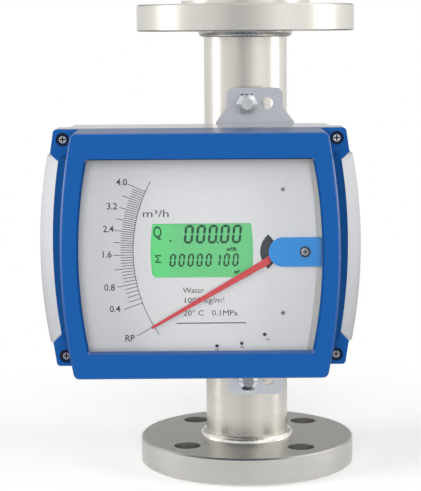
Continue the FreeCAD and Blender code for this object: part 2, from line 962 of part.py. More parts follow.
def pan_screw(dia, head_dia, head_height, length, seat_y, x, z):
    """A cross recessed pan head screw, its head towards -Y of seat_y."""
    top = seat_y - head_height
    head = turned_y([
        (0, top), (head_dia * pan_flat, top), (head_dia * pan_crown, top + head_height / 4),
        (head_dia / 2, top + head_height * 0.6), (head_dia / 2, seat_y), (0, seat_y),
    ], x, z)
    shank = rod_y(dia, seat_y - slip, seat_y + length, x, z)
    recess = cross_cut(head_dia * pan_cross, top - slip, top + head_height * pan_cross_depth, x, z)
    return head.cut(recess).fuse(shank).removeSplitter()


def cover_screws():
    seat = ear_y + counterbore_depth
    return group([
        pan_screw(cover_screw_dia, cover_screw_head, cover_screw_head_height, cover_screw_length,
                  seat, housing_x + u, housing_z + w)
        for u, w in cover_screw_places()
    ])


# ---- window ----
def window_seal():
    outer = prism(glass_outline(0, window_back_y), glass_front_y)
    return outer.cut(prism(window_outline(retainer_lip, window_back_y), glass_front_y))


def window_glass():
    return prism(glass_outline(0, glass_front_y), glass_back_y)


def window_retainer():
    """Flat frame that clamps the glass from behind."""
    y_to = glass_back_y + retainer_thick
    outer = prism(notched(front_half_width - cover_wall - air, front_sweep, notch_half_width - 1 - air,
                          half_height - cover_wall - air, glass_back_y), y_to)
    frame = outer.cut(prism(window_outline(retainer_lip, glass_back_y), y_to))
    for u, w in retainer_screw_places():
        frame = frame.cut(face_rod(retainer_screw_dia + screw_clear, glass_back_y, y_to, u, w))
    return frame


def retainer_screws():
    """Screws that come from inside, with their heads towards +Y."""
    seat = glass_back_y + retainer_thick
    tip = glass_back_y - retainer_screw_length + slip
    screws = []
    for u, w in retainer_screw_places():
        head = face_rod(retainer_screw_head, seat, seat + retainer_screw_height, u, w)
        recess = cross_cut(retainer_screw_head * 0.6, seat + 0.6, seat + retainer_screw_height + 1,
                           housing_x + u, housing_z + w)
        screws.append(head.cut(recess).fuse(face_rod(retainer_screw_dia, tip, seat, u, w)))
    return group(screws)


# ---- inside frame ----
def chassis_post_places():
    left = [(-chassis_post_u, up * left_post_w) for up in (1, -1)]
    return left + [(chassis_post_u, up * right_post_w) for up in (1, -1)]


def chassis_plate():
    plate = face_block(-chassis_half_width, chassis_half_width, -chassis_half_height, chassis_half_height,
                       chassis_front_y, chassis_back_y)
    plate = round_edges(plate, chassis_corner, runs_along_y)
    for u, w in chassis_post_places():
        plate = plate.cut(face_rod(chassis_screw_dia + screw_clear, chassis_front_y, chassis_back_y, u, w))
    return plate.cut(face_rod(bearing_dia + 2 * slip, chassis_front_y, chassis_back_y, pivot_u, pivot_w))


def case_posts():
    """Posts from the case's floor to the chassis."""
    posts = []
    for u, w in chassis_post_places():
        post = face_rod(chassis_post_dia, chassis_back_y, floor_y, u, w)
        hole_end = chassis_front_y + chassis_screw_length + 1
        posts.append(post.cut(face_rod(chassis_screw_dia + 2 * slip, chassis_back_y, hole_end, u, w)))
    return posts


def chassis_screws():
    return group([
        pan_screw(chassis_screw_dia, chassis_screw_head, chassis_screw_height, chassis_screw_length,
                  chassis_front_y, housing_x + u, housing_z + w)
        for u, w in chassis_post_places()
    ])


def dial_screw_places():
    return [(dial_screw_u, dial_screw_w), (dial_screw_u, -dial_screw_w)]


def dial_posts():
    """Posts from the chassis to the dial: two screwed, two bonded at the left, one for the bridge."""
    posts = []
    for u, w in dial_screw_places():
        post = face_rod(dial_post_dia, dial_back_y, chassis_front_y, u, w)
        hole_end = dial_y + dial_screw_length + 1
        posts.append(post.cut(face_rod(dial_screw_dia + 2 * slip, dial_back_y, hole_end, u, w)))
    for w in (dial_stud_w, -dial_stud_w):
        posts.append(face_rod(dial_post_dia, dial_back_y, chassis_front_y, dial_stud_u, w))
    post = face_rod(dial_post_dia, dial_back_y, chassis_front_y, bridge_screw_u, pivot_w)
    hole_end = dial_y + dial_screw_length + 1
    hole = face_rod(bridge_screw_dia + 2 * slip, dial_back_y, hole_end, bridge_screw_u, pivot_w)
    posts.append(post.cut(hole))
    return posts


def chassis_posts():
    """All the posts that stand on the chassis."""
    return group(case_posts() + dial_posts())


# ---- dial and display ----
def display_outline(y):
    """Display opening: bowed sides, with its lower corners clipped."""
    low = display_bottom + display_clip
    middle = display_half_width
    top_edge = side_at(middle, display_sweep, display_top)
    low_edge = side_at(middle, display_sweep, low)
    end = low_edge - display_clip

    def point(u, w):
        return face_point(display_shift + u, w, y)

    return Part.Wire([
        Part.makeLine(point(-top_edge, display_top), point(top_edge, display_top)),
        Part.Arc(point(top_edge, display_top), point(middle, 0), point(low_edge, low)).toShape(),
        Part.makeLine(point(low_edge, low), point(end, display_bottom)),
        Part.makeLine(point(end, display_bottom), point(-end, display_bottom)),
        Part.makeLine(point(-end, display_bottom), point(-low_edge, low)),
        Part.Arc(point(-low_edge, low), point(-middle, 0), point(-top_edge, display_top)).toShape(),
    ])


def needle_slot():
    """Arc shaped slot in the dial through which the pointer comes forward."""
    band = rod_y(2 * slot_outer, dial_y, dial_back_y, pivot_x, pivot_z)
    band = band.cut(rod_y(2 * slot_inner, dial_y, dial_back_y, pivot_x, pivot_z))
    reach = 3 * slot_outer
    wedge = sheet_y([
        (pivot_x, pivot_z), polar(slot_half_angle, reach), polar(0, reach), polar(-slot_half_angle, reach),
    ], dial_y, dial_back_y)
    return band.common(wedge)


def dial_plate():
    plate = prism(barrel(dial_half_width, dial_sweep, dial_half_height, dial_y), dial_back_y)
    plate.translate(vec(dial_shift, 0, 0))
    plate = round_edges(plate, dial_corner, runs_along_y)
    plate = plate.cut(prism(display_outline(dial_y), dial_back_y))
    plate = plate.cut(needle_slot())
    plate = plate.cut(rod_y(shaft_dia * 2, dial_y, dial_back_y, pivot_x, pivot_z))
    for u, w in dial_screw_places():
        plate = plate.cut(face_rod(dial_screw_dia + screw_clear, dial_y, dial_back_y, u, w))
    plate = plate.cut(face_rod(bridge_screw_dia + screw_clear, dial_y, dial_back_y, bridge_screw_u, pivot_w))
    for u, w in key_places:
        plate = plate.cut(face_rod(key_dia + 2 * key_hole_clear, dial_y, dial_back_y, u, w))
    return plate


def dial_edge_strip():
    """Strip bonded behind the dial's right edge that closes the gap beside it."""
    y_to = dial_back_y + strip_thick
    top = dial_half_height - strip_end_inset
    edge = dial_half_width + dial_shift
    outer = prism(barrel(edge + strip_reach, dial_sweep, top, dial_back_y), y_to)
    inner = prism(barrel(edge - strip_lap, dial_sweep, top + 1, dial_back_y), y_to)
    right = face_block(0, edge + strip_reach + 1, -top - 1, top + 1, dial_back_y, y_to)
    return outer.cut(inner).common(right)


def dial_screws():
    return group([
        pan_screw(dial_screw_dia, dial_screw_head, dial_screw_height, dial_screw_length,
                  dial_y, housing_x + u, housing_z + w)
        for u, w in dial_screw_places()
    ])


def display_block(grow, y_from, y_to):
    """A block that covers the display opening with a margin."""
    across = display_half_width + lcd_margin + grow
    return face_block(display_shift - across, display_shift + across, display_bottom - lcd_margin - grow,
                      display_top + lcd_margin + grow, y_from, y_to)


def lcd_glass():
    return display_block(0, dial_back_y, lcd_back_y)


def lcd_frame():
    """Bent metal rim that holds the display glass to its backlight."""
    rim = display_block(lcd_frame_wall, dial_back_y, board_front_y)
    return rim.cut(display_block(slip, dial_back_y, board_front_y))


def backlight():
    return display_block(0, lcd_back_y, board_front_y)


def board_post_places():
    left = board_left + board_post_inset
    right = board_right - board_post_inset
    return [(left, board_top - board_post_inset), (right, board_top - board_post_inset),
            (left, board_bottom + 3 * board_post_inset), (right, board_bottom + 3 * board_post_inset)]


def circuit_board():
    board = face_block(board_left, board_right, board_bottom, board_top, board_front_y, board_back_y)
    return round_edges(board, 2.0, runs_along_y)


def board_posts():
    return group([
        face_rod(board_post_dia, board_back_y, chassis_front_y, u, w) for u, w in board_post_places()
    ])


def terminal_block():
    """Row of wire clamps on the back of the board."""
    left = terminal_u - terminal_width / 2
    low = terminal_w - terminal_height / 2
    body = face_block(left, left + terminal_width, low, low + terminal_height,
                      board_back_y, board_back_y + terminal_depth)
    pitch = terminal_width / terminal_ways
    for index in range(terminal_ways):
        u = left + pitch * (index + 0.5)
        half = pitch * terminal_mouth / 2
        mouth_from = board_back_y + terminal_depth * terminal_floor
        mouth_to = board_back_y + terminal_depth * terminal_ceiling
        body = body.cut(face_block(u - half, u + half, low - 1, low + terminal_height / 2,
                                   mouth_from, mouth_to))
    return body


# ---- pointer movement ----
def pivot_bridge():
    """Round ended plate over the pivot: its blind bore is the pointer shaft's front bearing."""
    y_from = dial_y - bridge_thick
    half = bridge_half_height
    tongue = face_block(pivot_u, bridge_end_u, pivot_w - half, pivot_w + half, y_from, dial_y)
    plate = tongue.fuse(rod_y(2 * half, y_from, dial_y, pivot_x, pivot_z)).removeSplitter()
    plate = plate.cut(rod_y(shaft_dia + 2 * running, dial_y - bridge_bore_depth, dial_y, pivot_x, pivot_z))
    plate = plate.cut(face_rod(bridge_screw_dia + screw_clear, y_from, dial_y, bridge_screw_u, pivot_w))
    sink_depth = bridge_screw_height * 0.7
    return plate.cut(face_rod(bridge_sink_dia, y_from, y_from + sink_depth, bridge_screw_u, pivot_w))


def bridge_screw():
    seat = dial_y - bridge_thick + bridge_screw_height * 0.7
    return pan_screw(bridge_screw_dia, bridge_screw_head, bridge_screw_height, dial_screw_length,
                     seat, housing_x + bridge_screw_u, pivot_z)


def pointer_shaft():
    y_from = dial_y - bridge_bore_depth + 0.2
    return rod_y(shaft_dia, y_from, arm_front_y + arm_thick, pivot_x, pivot_z)


def bearing(collar_from, collar_to, sleeve_from, sleeve_to):
    """A bush with a collar for the pointer shaft."""
    bush = rod_y(bearing_dia, sleeve_from, sleeve_to, pivot_x, pivot_z)
    collar = rod_y(bearing_collar_dia, collar_from, collar_to, pivot_x, pivot_z)
    whole = bush.fuse(collar).removeSplitter()
    y_from = min(collar_from, sleeve_from)
    y_to = max(collar_to, sleeve_to)
    return whole.cut(rod_y(shaft_dia + 2 * running, y_from, y_to, pivot_x, pivot_z))


def front_bearing():
    return bearing(chassis_front_y - bearing_collar, chassis_front_y, chassis_front_y, chassis_back_y)


def rear_bearing():
    plate_y = bracket_back_y - bracket_sheet
    return bearing(plate_y - bearing_collar, plate_y, plate_y, bracket_back_y)


def bearing_bracket():
    """Folded sheet that carries the rear bearing behind the chassis."""
    half = bracket_half_height
    back = block(vec(pivot_x - bracket_half_width, bracket_back_y - bracket_sheet, pivot_z - half),
                 vec(pivot_x + bracket_half_width, bracket_back_y, pivot_z + half))
    whole = back
    for up in (1, -1):
        inner = pivot_z + up * (half - bracket_sheet)
        outer = pivot_z + up * half
        far = pivot_z + up * (half + bracket_foot)
        low, high = sorted((inner, outer))
        foot_low, foot_high = sorted((inner, far))
        leg = block(vec(pivot_x - bracket_half_width, chassis_back_y, low),
                    vec(pivot_x + bracket_half_width, bracket_back_y, high))
        foot = block(vec(pivot_x - bracket_half_width, chassis_back_y, foot_low),
                     vec(pivot_x + bracket_half_width, chassis_back_y + bracket_sheet, foot_high))
        whole = whole.fuse(leg).fuse(foot)
    hole = rod_y(bearing_dia + 2 * slip, bracket_back_y - bracket_sheet, bracket_back_y, pivot_x, pivot_z)
    return whole.removeSplitter().cut(hole)


def pointer_needle():
    """Bent sheet: a hub plate behind the dial, a riser in its slot, and the long blade in front."""
    blade_y = dial_y - pointer_lift - pointer_sheet
    plate_y = dial_back_y + hub_gap
    root = pointer_root_width / 2
    tip = pointer_tip_width / 2
    blade = sheet_y([
        (pivot_x - blade_start, pivot_z - root), (pivot_x - blade_start, pivot_z + root),
        (pivot_x - pointer_reach, pivot_z + tip), (pivot_x - pointer_reach, pivot_z - tip),
    ], blade_y, blade_y + pointer_sheet)
    arm_half = root * pointer_arm_width
    riser = block(vec(pivot_x - riser_radius - riser_thick, blade_y, pivot_z - arm_half),
                  vec(pivot_x - riser_radius, plate_y + hub_plate, pivot_z + arm_half))
    arm = block(vec(pivot_x - riser_radius - riser_thick, plate_y, pivot_z - arm_half),
                vec(pivot_x + tail_reach, plate_y + hub_plate, pivot_z + arm_half))
    hub = rod_y(hub_plate_dia, plate_y, plate_y + hub_plate, pivot_x, pivot_z)
    whole = blade.fuse(riser).fuse(arm).fuse(hub).removeSplitter()
    whole = whole.cut(rod_y(shaft_dia + 2 * slip, plate_y, plate_y + hub_plate, pivot_x, pivot_z))
    return turn_about_pivot(whole, pointer_rest_angle)


def pointer_hub():
    """Collet that clamps the needle to the shaft."""
    y_from = dial_back_y + hub_gap + hub_plate
    hub = rod_y(hub_dia, y_from, y_from + hub_height, pivot_x, pivot_z)
    return hub.cut(rod_y(shaft_dia + 2 * slip, y_from, y_from + hub_height, pivot_x, pivot_z))


def balance_weight():
    """Weight on the needle's tail."""
    y_from = dial_back_y + hub_gap + hub_plate
    centre_x = pivot_x + hub_dia / 2 + slip + balance_dia / 2
    weight = rod_y(balance_dia, y_from, y_from + balance_height, centre_x, pivot_z)
    return turn_about_pivot(weight, pointer_rest_angle)


def damping_disc():
    y_from = chassis_back_y + disc_from_chassis
    disc = rod_y(disc_dia, y_from, y_from + disc_thick, pivot_x, pivot_z)
    return disc.cut(rod_y(shaft_dia + 2 * slip, y_from, y_from + disc_thick, pivot_x, pivot_z))


def brake_magnet():
    """Block magnet with a slit that the damping disc turns in."""
    disc_y = chassis_back_y + disc_from_chassis
    left = pivot_x + disc_dia / 2 - brake_reach / 2
    block_end = disc_y + disc_thick + brake_gap + brake_pole
    body = block(vec(left, chassis_back_y, pivot_z - brake_height / 2),
                 vec(left + brake_width, block_end, pivot_z + brake_height / 2))
    slit_end = pivot_x + disc_dia / 2 + brake_gap
    slit = block(vec(left - 1, disc_y - brake_gap, pivot_z - brake_height),
                 vec(slit_end, disc_y + disc_thick + brake_gap, pivot_z + brake_height))
    return body.cut(slit)


def follower_arm():
    """Lever on the shaft's rear end that holds the follower magnet near the tube."""
    arm = block(vec(pivot_x - arm_reach, arm_front_y, pivot_z - arm_width / 2),
                vec(pivot_x, arm_front_y + arm_thick, pivot_z + arm_width / 2))
    hub = rod_y(arm_width + 2, arm_front_y, arm_front_y + arm_thick, pivot_x, pivot_z)
    end = rod_y(follower_dia, arm_front_y, arm_front_y + arm_thick, pivot_x - arm_reach, pivot_z)
    whole = arm.fuse(hub).fuse(end).removeSplitter()
    whole = whole.cut(rod_y(shaft_dia + 2 * slip, arm_front_y, arm_front_y + arm_thick, pivot_x, pivot_z))
    return turn_about_pivot(whole, pointer_rest_angle)


def follower_magnet():
    y_from = arm_front_y + arm_thick
    magnet = rod_y(follower_dia, y_from, y_from + follower_thick, pivot_x - arm_reach, pivot_z)
    return turn_about_pivot(magnet, pointer_rest_angle)


# ---- keys ----
def key_switches():
    """Small switches on the board, one behind each key."""
    switches = []
    half = switch_size / 2
    for u, w in key_places:
        switches.append(face_block(u - half, u + half, w - half, w + half,
                                   board_front_y - switch_height, board_front_y))
    return group(switches)


def key_cap(place):
    """A push key: a pin through the dial with a collar that holds it from behind."""
    u, w = place
    pin = face_rod(key_dia, dial_y - key_proud, board_front_y - switch_height - key_travel - slip, u, w)
    collar_y = dial_back_y + key_collar_gap
    return pin.fuse(face_rod(key_collar_dia, collar_y, collar_y + key_collar, u, w)).removeSplitter()


# ---- cable entry ----
def gland_body():
    """Threaded body of the cable gland, screwed through the housing's back."""
    x, z = entry_places()[0]
    neck_from = back_y + gland_hex
    neck_to = neck_from + gland_neck
    thread_from = back_y - entry_thread_length
    hexed = hexagon(gland_flats, back_y, neck_from, x, z)
    neck = rod_y(gland_seal_dia + 2 * gland_nut_wall - 2, neck_from, neck_to, x, z)
    thread = rod_y(entry_thread_dia, thread_from, back_y, x, z)
    whole = hexed.fuse(neck).fuse(thread).removeSplitter()
    return whole.cut(rod_y(cable_bore_dia, thread_from, neck_to, x, z))


def gland_seal():
    """Rubber ring that grips the cable."""
    x, z = entry_places()[0]
    start = back_y + gland_hex + gland_neck
    ring = rod_y(gland_seal_dia, start, start + gland_seal_length, x, z)
    return ring.cut(rod_y(cable_bore_dia, start, start + gland_seal_length, x, z))


def gland_nut():
    """Domed compression nut."""
    x, z = entry_places()[0]
    start = back_y + gland_hex
    end = start + gland_nut_length
    across = gland_nut_flats / math.sqrt(3)
    hexed = hexagon(gland_nut_flats, start, end, x, z)
    dome = turned_y([
        (0, start), (across + 1, start),
        (across + 1, end - gland_nut_length * gland_dome_height),
        (gland_nut_flats * gland_dome_shoulder, end - 1),
        (gland_nut_flats * gland_dome_top, end), (0, end),
    ], x, z)
    nut = hexed.common(dome)
    neck_dia = gland_seal_dia + 2 * gland_nut_wall - 2 + 2 * slip
    nut = nut.cut(rod_y(neck_dia, start, start + gland_neck, x, z))
    seal_end = start + gland_neck + gland_seal_length
    nut = nut.cut(rod_y(gland_seal_dia + 2 * slip, start + gland_neck, seal_end, x, z))
    return nut.cut(rod_y(cable_bore_dia, seal_end, end, x, z))


def blanking_plug():
    x, z = entry_places()[1]
    hexed = hexagon(gland_flats, back_y, back_y + plug_head, x, z)
    return hexed.fuse(rod_y(entry_thread_dia, back_y - entry_thread_length, back_y, x, z)).removeSplitter()


def all_nodes():
    sleeve_top = float_rest_z
    stop_low = float_top_z + float_lift + air
    nodes = {
        "inlet_flange": inlet_flange(),
        "outlet_flange": outlet_flange(),
        "measuring_tube": measuring_tube(),
        "inlet_weld": weld(tube_low, 1),
        "outlet_weld": weld(tube_high, -1),
        "inlet_guide": guide(tube_low),
        "outlet_guide": guide(tube_high - guide_height),
        "guide_rod": guide_rod(),
        "rest_sleeve": rod_sleeve(tube_low + guide_height, sleeve_top),
        "stop_sleeve": rod_sleeve(stop_low, tube_high - guide_height),
        "float_body": float_body(),
        "float_magnet": float_magnet(),
        "float_head": float_head_disc(),
        "upper_boss": tube_boss(1),
        "lower_boss": tube_boss(-1),
        "mounting_plate": mounting_plate(),
        "mounting_bolts": mounting_bolts(),
        "spring_washers": spring_washers(),
        "plate_screws": plate_screws(),
        "rear_housing": rear_housing(),
        "front_cover": front_cover(),
        "cover_gasket": cover_gasket(),
        "cover_screws": cover_screws(),
        "window_seal": window_seal(),
        "window_glass": window_glass(),
        "window_retainer": window_retainer(),
        "retainer_screws": retainer_screws(),
        "chassis_plate": chassis_plate(),
        "chassis_posts": chassis_posts(),
        "chassis_screws": chassis_screws(),
        "dial_plate": dial_plate(),
        "dial_edge_strip": dial_edge_strip(),
        "dial_screws": dial_screws(),
        "lcd_glass": lcd_glass(),
        "lcd_frame": lcd_frame(),
        "backlight": backlight(),
        "circuit_board": circuit_board(),
        "board_posts": board_posts(),
        "terminal_block": terminal_block(),
        "pivot_bridge": pivot_bridge(),
        "bridge_screw": bridge_screw(),
        "front_bearing": front_bearing(),
        "rear_bearing": rear_bearing(),
        "bearing_bracket": bearing_bracket(),
        "pointer_shaft": pointer_shaft(),
        "pointer_needle": pointer_needle(),
        "pointer_hub": pointer_hub(),
        "balance_weight": balance_weight(),
        "damping_disc": damping_disc(),
        "brake_magnet": brake_magnet(),
        "follower_arm": follower_arm(),
        "follower_magnet": follower_magnet(),
        "key_switches": key_switches(),
        "gland_body": gland_body(),
        "gland_seal": gland_seal(),
        "gland_nut": gland_nut(),
        "blanking_plug": blanking_plug(),
    }
    for name, place in zip(("left_key", "middle_key", "right_key"), key_places):
        nodes[name] = key_cap(place)
    return nodes


def main():
    os.makedirs("parts", exist_ok=True)
    for name, shape in all_nodes().items():
        shape.exportStep("parts/" + name + ".step")
        solids = len(shape.Solids)
        print(f"{name:18s} solids {solids:2d} volume {shape.Volume:11.1f} valid {shape.isValid()}")


main()
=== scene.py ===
import json
import math
import random

import bmesh
import bpy
from bpy.props import FloatProperty, FloatVectorProperty, IntProperty, PointerProperty
from mathutils import Matrix, Vector


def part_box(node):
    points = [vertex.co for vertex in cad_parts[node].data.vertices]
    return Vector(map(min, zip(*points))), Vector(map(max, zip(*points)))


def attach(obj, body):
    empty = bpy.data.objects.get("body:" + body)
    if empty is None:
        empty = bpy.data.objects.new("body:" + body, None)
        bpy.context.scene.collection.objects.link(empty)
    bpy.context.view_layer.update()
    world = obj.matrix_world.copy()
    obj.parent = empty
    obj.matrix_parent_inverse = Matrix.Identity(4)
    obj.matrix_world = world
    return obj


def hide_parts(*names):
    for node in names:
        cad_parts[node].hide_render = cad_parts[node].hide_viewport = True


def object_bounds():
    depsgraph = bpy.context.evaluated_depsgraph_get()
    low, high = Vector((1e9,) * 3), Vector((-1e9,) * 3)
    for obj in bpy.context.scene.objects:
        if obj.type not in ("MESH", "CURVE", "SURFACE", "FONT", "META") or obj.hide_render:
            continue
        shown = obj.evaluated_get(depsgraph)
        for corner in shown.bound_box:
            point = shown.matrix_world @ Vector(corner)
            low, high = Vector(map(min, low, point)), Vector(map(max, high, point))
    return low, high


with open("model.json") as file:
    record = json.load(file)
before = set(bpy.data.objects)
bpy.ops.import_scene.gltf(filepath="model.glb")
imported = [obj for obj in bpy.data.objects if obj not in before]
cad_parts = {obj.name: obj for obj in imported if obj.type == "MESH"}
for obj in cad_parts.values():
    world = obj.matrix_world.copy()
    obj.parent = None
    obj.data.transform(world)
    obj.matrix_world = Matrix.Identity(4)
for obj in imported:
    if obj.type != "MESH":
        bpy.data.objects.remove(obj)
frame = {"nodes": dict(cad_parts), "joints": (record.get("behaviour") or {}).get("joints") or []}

bl_info = {
    "name": "Flow meter finishes",
    "version": (1, 0, 0),
    "blender": (4, 5, 0),
    "location": "3D View > Sidebar > Flow meter",
    "description": "Finishes, printed dial, lit display and stage for a metal tube flow meter",
    "category": "Object",
}

CAD_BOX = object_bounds()
MM = 0.001
MICRON = 0.001 * MM

# The housing's middle, and the faces that carry print, all read from the frame.
COVER_LOW, COVER_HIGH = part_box("front_cover")
CENTRE_X = (COVER_LOW.x + COVER_HIGH.x) / 2
CENTRE_Z = (COVER_LOW.z + COVER_HIGH.z) / 2
DIAL_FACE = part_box("dial_plate")[0].y
DISPLAY_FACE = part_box("lcd_glass")[0].y
SWING = next(joint for joint in frame["joints"] if joint["name"] == "pointer_swing")
PIVOT = Vector(SWING["pos_m"])
PIVOT_U = (PIVOT.x - CENTRE_X) / MM
PIVOT_W = (PIVOT.z - CENTRE_Z) / MM
# How far print stands proud of its face.
INK_FILM = 0.04 * MM
# Share of the built-in font's size that its capitals take up.
CAPITAL_SHARE = 0.729
# Between these values of the noise a grain runs from its dark to its light colour.
GRAIN_FROM, GRAIN_TO = 0.35, 0.65


# ---- colour and node helpers ----
def linear(code, alpha=True):
    """An sRGB hex colour as linear values."""
    channels = [int(code[i:i + 2], 16) / 255 for i in (1, 3, 5)]
    values = [c / 12.92 if c <= 0.04045 else ((c + 0.055) / 1.055) ** 2.4 for c in channels]
    return tuple(values + [1.0]) if alpha else tuple(values)


def add_node(tree, kind, values=None, links=None, stops=(), **settings):
    """Adds one node with its settings, socket values and incoming links.

    Sockets go by name, or by number where names repeat. stops are the places and colours of a colour ramp.
    """
    made = tree.nodes.new(kind)
    for name, value in settings.items():
        setattr(made, name, value)
    for socket, value in (values or {}).items():
        made.inputs[socket].default_value = value
    for socket, source in (links or {}).items():
        tree.links.new(source, made.inputs[socket])
    if stops:
        elements = made.color_ramp.elements
        elements.remove(elements[1])
        elements[0].position = stops[0][0]
        for place, _ in stops[1:]:
            elements.new(place)
        for element, (_, colour) in zip(elements, stops):
            element.color = colour
    return made


def start_material(name):
    """A new material and its empty node tree."""
    material = bpy.data.materials.new(name)
    material.use_nodes = True
    material.node_tree.nodes.clear()
    return material, material.node_tree


def finish(name, dark, light, grain_mm, rough, bump_um=0.0, **surface):
    """A surface whose colour, roughness and relief follow one grain.

    dark and light are the hex colours between which the grain moves, grain_mm its size along x, y and z,
    rough the roughness at each end, bump_um the height of the relief in micrometres. What else is given
    goes to the shader's sockets of those names.
    """
    material, tree = start_material(name)
    place = add_node(tree, "ShaderNodeTexCoord")
    scale = [1 / (size * MM) for size in grain_mm]
    mapped = add_node(tree, "ShaderNodeMapping", {"Scale": scale}, {"Vector": place.outputs["Object"]})
    grain = add_node(tree, "ShaderNodeTexNoise", {"Scale": 1.0, "Detail": 3.0, "Roughness": 0.6},
                     {"Vector": mapped.outputs["Vector"]})
    ramp = add_node(tree, "ShaderNodeValToRGB", links={"Fac": grain.outputs["Fac"]},
                    stops=[(GRAIN_FROM, linear(dark)), (GRAIN_TO, linear(light))])
    spread = add_node(tree, "ShaderNodeMapRange", {"From Min": GRAIN_FROM, "From Max": GRAIN_TO,
                                                   "To Min": rough[0], "To Max": rough[1]},
                      {"Value": grain.outputs["Fac"]})
    values = {socket.replace("_", " "): value for socket, value in surface.items()}
    links = {"Base Color": ramp.outputs["Color"], "Roughness": spread.outputs["Result"]}
    if bump_um:
        relief = add_node(tree, "ShaderNodeBump", {"Strength": 1.0, "Distance": bump_um * MICRON},
                          {"Height": grain.outputs["Fac"]})
        links["Normal"] = relief.outputs["Normal"]
    shader = add_node(tree, "ShaderNodeBsdfPrincipled", values, links)
    add_node(tree, "ShaderNodeOutputMaterial", links={"Surface": shader.outputs["BSDF"]})
    return material


def coat(material, *names):
    """Gives CAD nodes their material."""
    for name in names:
        for slot in frame["nodes"][name].material_slots:
            slot.material = material


# ---- mesh helpers ----
def on_face(u, w, y):
    """A point on a face that looks towards -Y, from millimetres right and up of the housing's middle."""
    return Vector((CENTRE_X + u * MM, y, CENTRE_Z + w * MM))


def add_object(name, bm, material):
    """Turns a bmesh into an object of one material."""
    mesh = bpy.data.meshes.new(name)
    bm.to_mesh(mesh)
    bm.free()
    mesh.materials.append(material)
    made = bpy.data.objects.new(name, mesh)
    bpy.context.scene.collection.objects.link(made)
    return made


def make_piece(name, bm, material, body):
    """Turns a bmesh into a piece that rides on a body."""
    bmesh.ops.recalc_face_normals(bm, faces=bm.faces)
    piece = add_object(name, bm, material)
    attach(piece, body)
    return piece


def rectangle(left, right, foot, top):
    """The corners of an upright rectangle, as (u, w)."""
    return [(left, foot), (right, foot), (right, top), (left, top)]


def add_slab(bm, outline, face, height=INK_FILM):
    """A flat closed slab on a face that looks towards -Y, standing height proud of it.

    outline is its corners as (u, w), in millimetres from the housing's middle.
    """
    count = len(outline)
    front = [bm.verts.new(on_face(u, w, face - height)) for u, w in outline]
    back = [bm.verts.new(on_face(u, w, face)) for u, w in outline]
    bm.faces.new(front)
    bm.faces.new(list(reversed(back)))
    for i in range(count):
        j = (i + 1) % count
        bm.faces.new((front[i], back[i], back[j], front[j]))


def add_ring(bm, u, w, inner, outer, face, height, steps=40):
    """A flat closed ring on a face that looks towards -Y, with its middle and radii in millimetres."""
    turns = [2 * math.pi * i / steps for i in range(steps)]
    loops = [
        [bm.verts.new(on_face(u + radius * math.cos(t), w + radius * math.sin(t), y)) for t in turns]
        for radius, y in ((inner, face), (inner, face - height), (outer, face - height), (outer, face))
    ]
    for here, there in zip(loops, loops[1:] + loops[:1]):
        for i in range(steps):
            j = (i + 1) % steps
            bm.faces.new((here[i], here[j], there[j], there[i]))


def add_words(bm, words, u, w, height, face, squeeze=1.0, bolder=0.0, anchor="LEFT"):
    """Raised lettering of the given capital height in millimetres, its baseline at w.

    squeeze is the width over that of the plain font, bolder how far each edge is moved out in millimetres.
    """
    curve = bpy.data.curves.new("words", "FONT")
    curve.body = words
    curve.size = height * MM / CAPITAL_SHARE
    curve.align_x = anchor
    curve.extrude = INK_FILM / 2
    curve.offset = bolder * MM
    curve.resolution_u = 3
    holder = bpy.data.objects.new("words", curve)
    bpy.context.scene.collection.objects.link(holder)
    bpy.context.view_layer.update()
    mesh = bpy.data.meshes.new_from_object(holder)
    turn = Matrix.Rotation(math.radians(90), 4, "X") @ Matrix.Diagonal((squeeze, 1, 1, 1))
    move = Matrix.Translation(on_face(u, w, face - INK_FILM / 2))
    mesh.transform(move @ turn)
    bm.from_mesh(mesh)
    bpy.data.objects.remove(holder)
    bpy.data.curves.remove(curve)
    bpy.data.meshes.remove(mesh)


# ---- sizes and colours that a user would change ----
class FlowMeterWelds(bpy.types.PropertyGroup):
    ripples: IntProperty(name="Ripples", description="Ripples round one bead", default=54)
    ripple_height: FloatProperty(name="Ripple height", description="How far a ripple stands proud",
                                 default=0.07 * MM, unit="LENGTH", subtype="DISTANCE")
    leg: FloatProperty(name="Leg", description="Width of the bead on each face",
                       default=3.2 * MM, unit="LENGTH", subtype="DISTANCE")


class FlowMeterPaint(bpy.types.PropertyGroup):
    cover_blue: FloatVectorProperty(name="Cover", description="Colour of the front cover", size=3,
                                    subtype="COLOR", default=linear("#1a4f8f", False))
    housing_grey: FloatVectorProperty(name="Housing", description="Colour of the rear housing", size=3,
                                      subtype="COLOR", default=linear("#c1c3c7", False))
    peel: FloatProperty(name="Orange peel", description="Width of the ripple in the lacquer",
                        default=1.6 * MM, unit="LENGTH", subtype="DISTANCE")


class FlowMeterDial(bpy.types.PropertyGroup):
    arc_radius: FloatProperty(name="Arc radius", description="Radius of the scale line about the axis",
                              default=73.1 * MM, unit="LENGTH", subtype="DISTANCE")
    long_tick: FloatProperty(name="Long mark", description="Length of a numbered mark",
                             default=9.6 * MM, unit="LENGTH", subtype="DISTANCE")
    short_tick: FloatProperty(name="Short mark", description="Length of a mark between two numbers",
                              default=6.2 * MM, unit="LENGTH", subtype="DISTANCE")
    line: FloatProperty(name="Line", description="Width of the printed lines",
                        default=0.32 * MM, unit="LENGTH", subtype="DISTANCE")
    figure: FloatProperty(name="Figures", description="Height of the scale figures",
                          default=3.3 * MM, unit="LENGTH", subtype="DISTANCE")
    full_flow: FloatProperty(name="Full flow", description="Flow at the top of the scale", default=4.0)


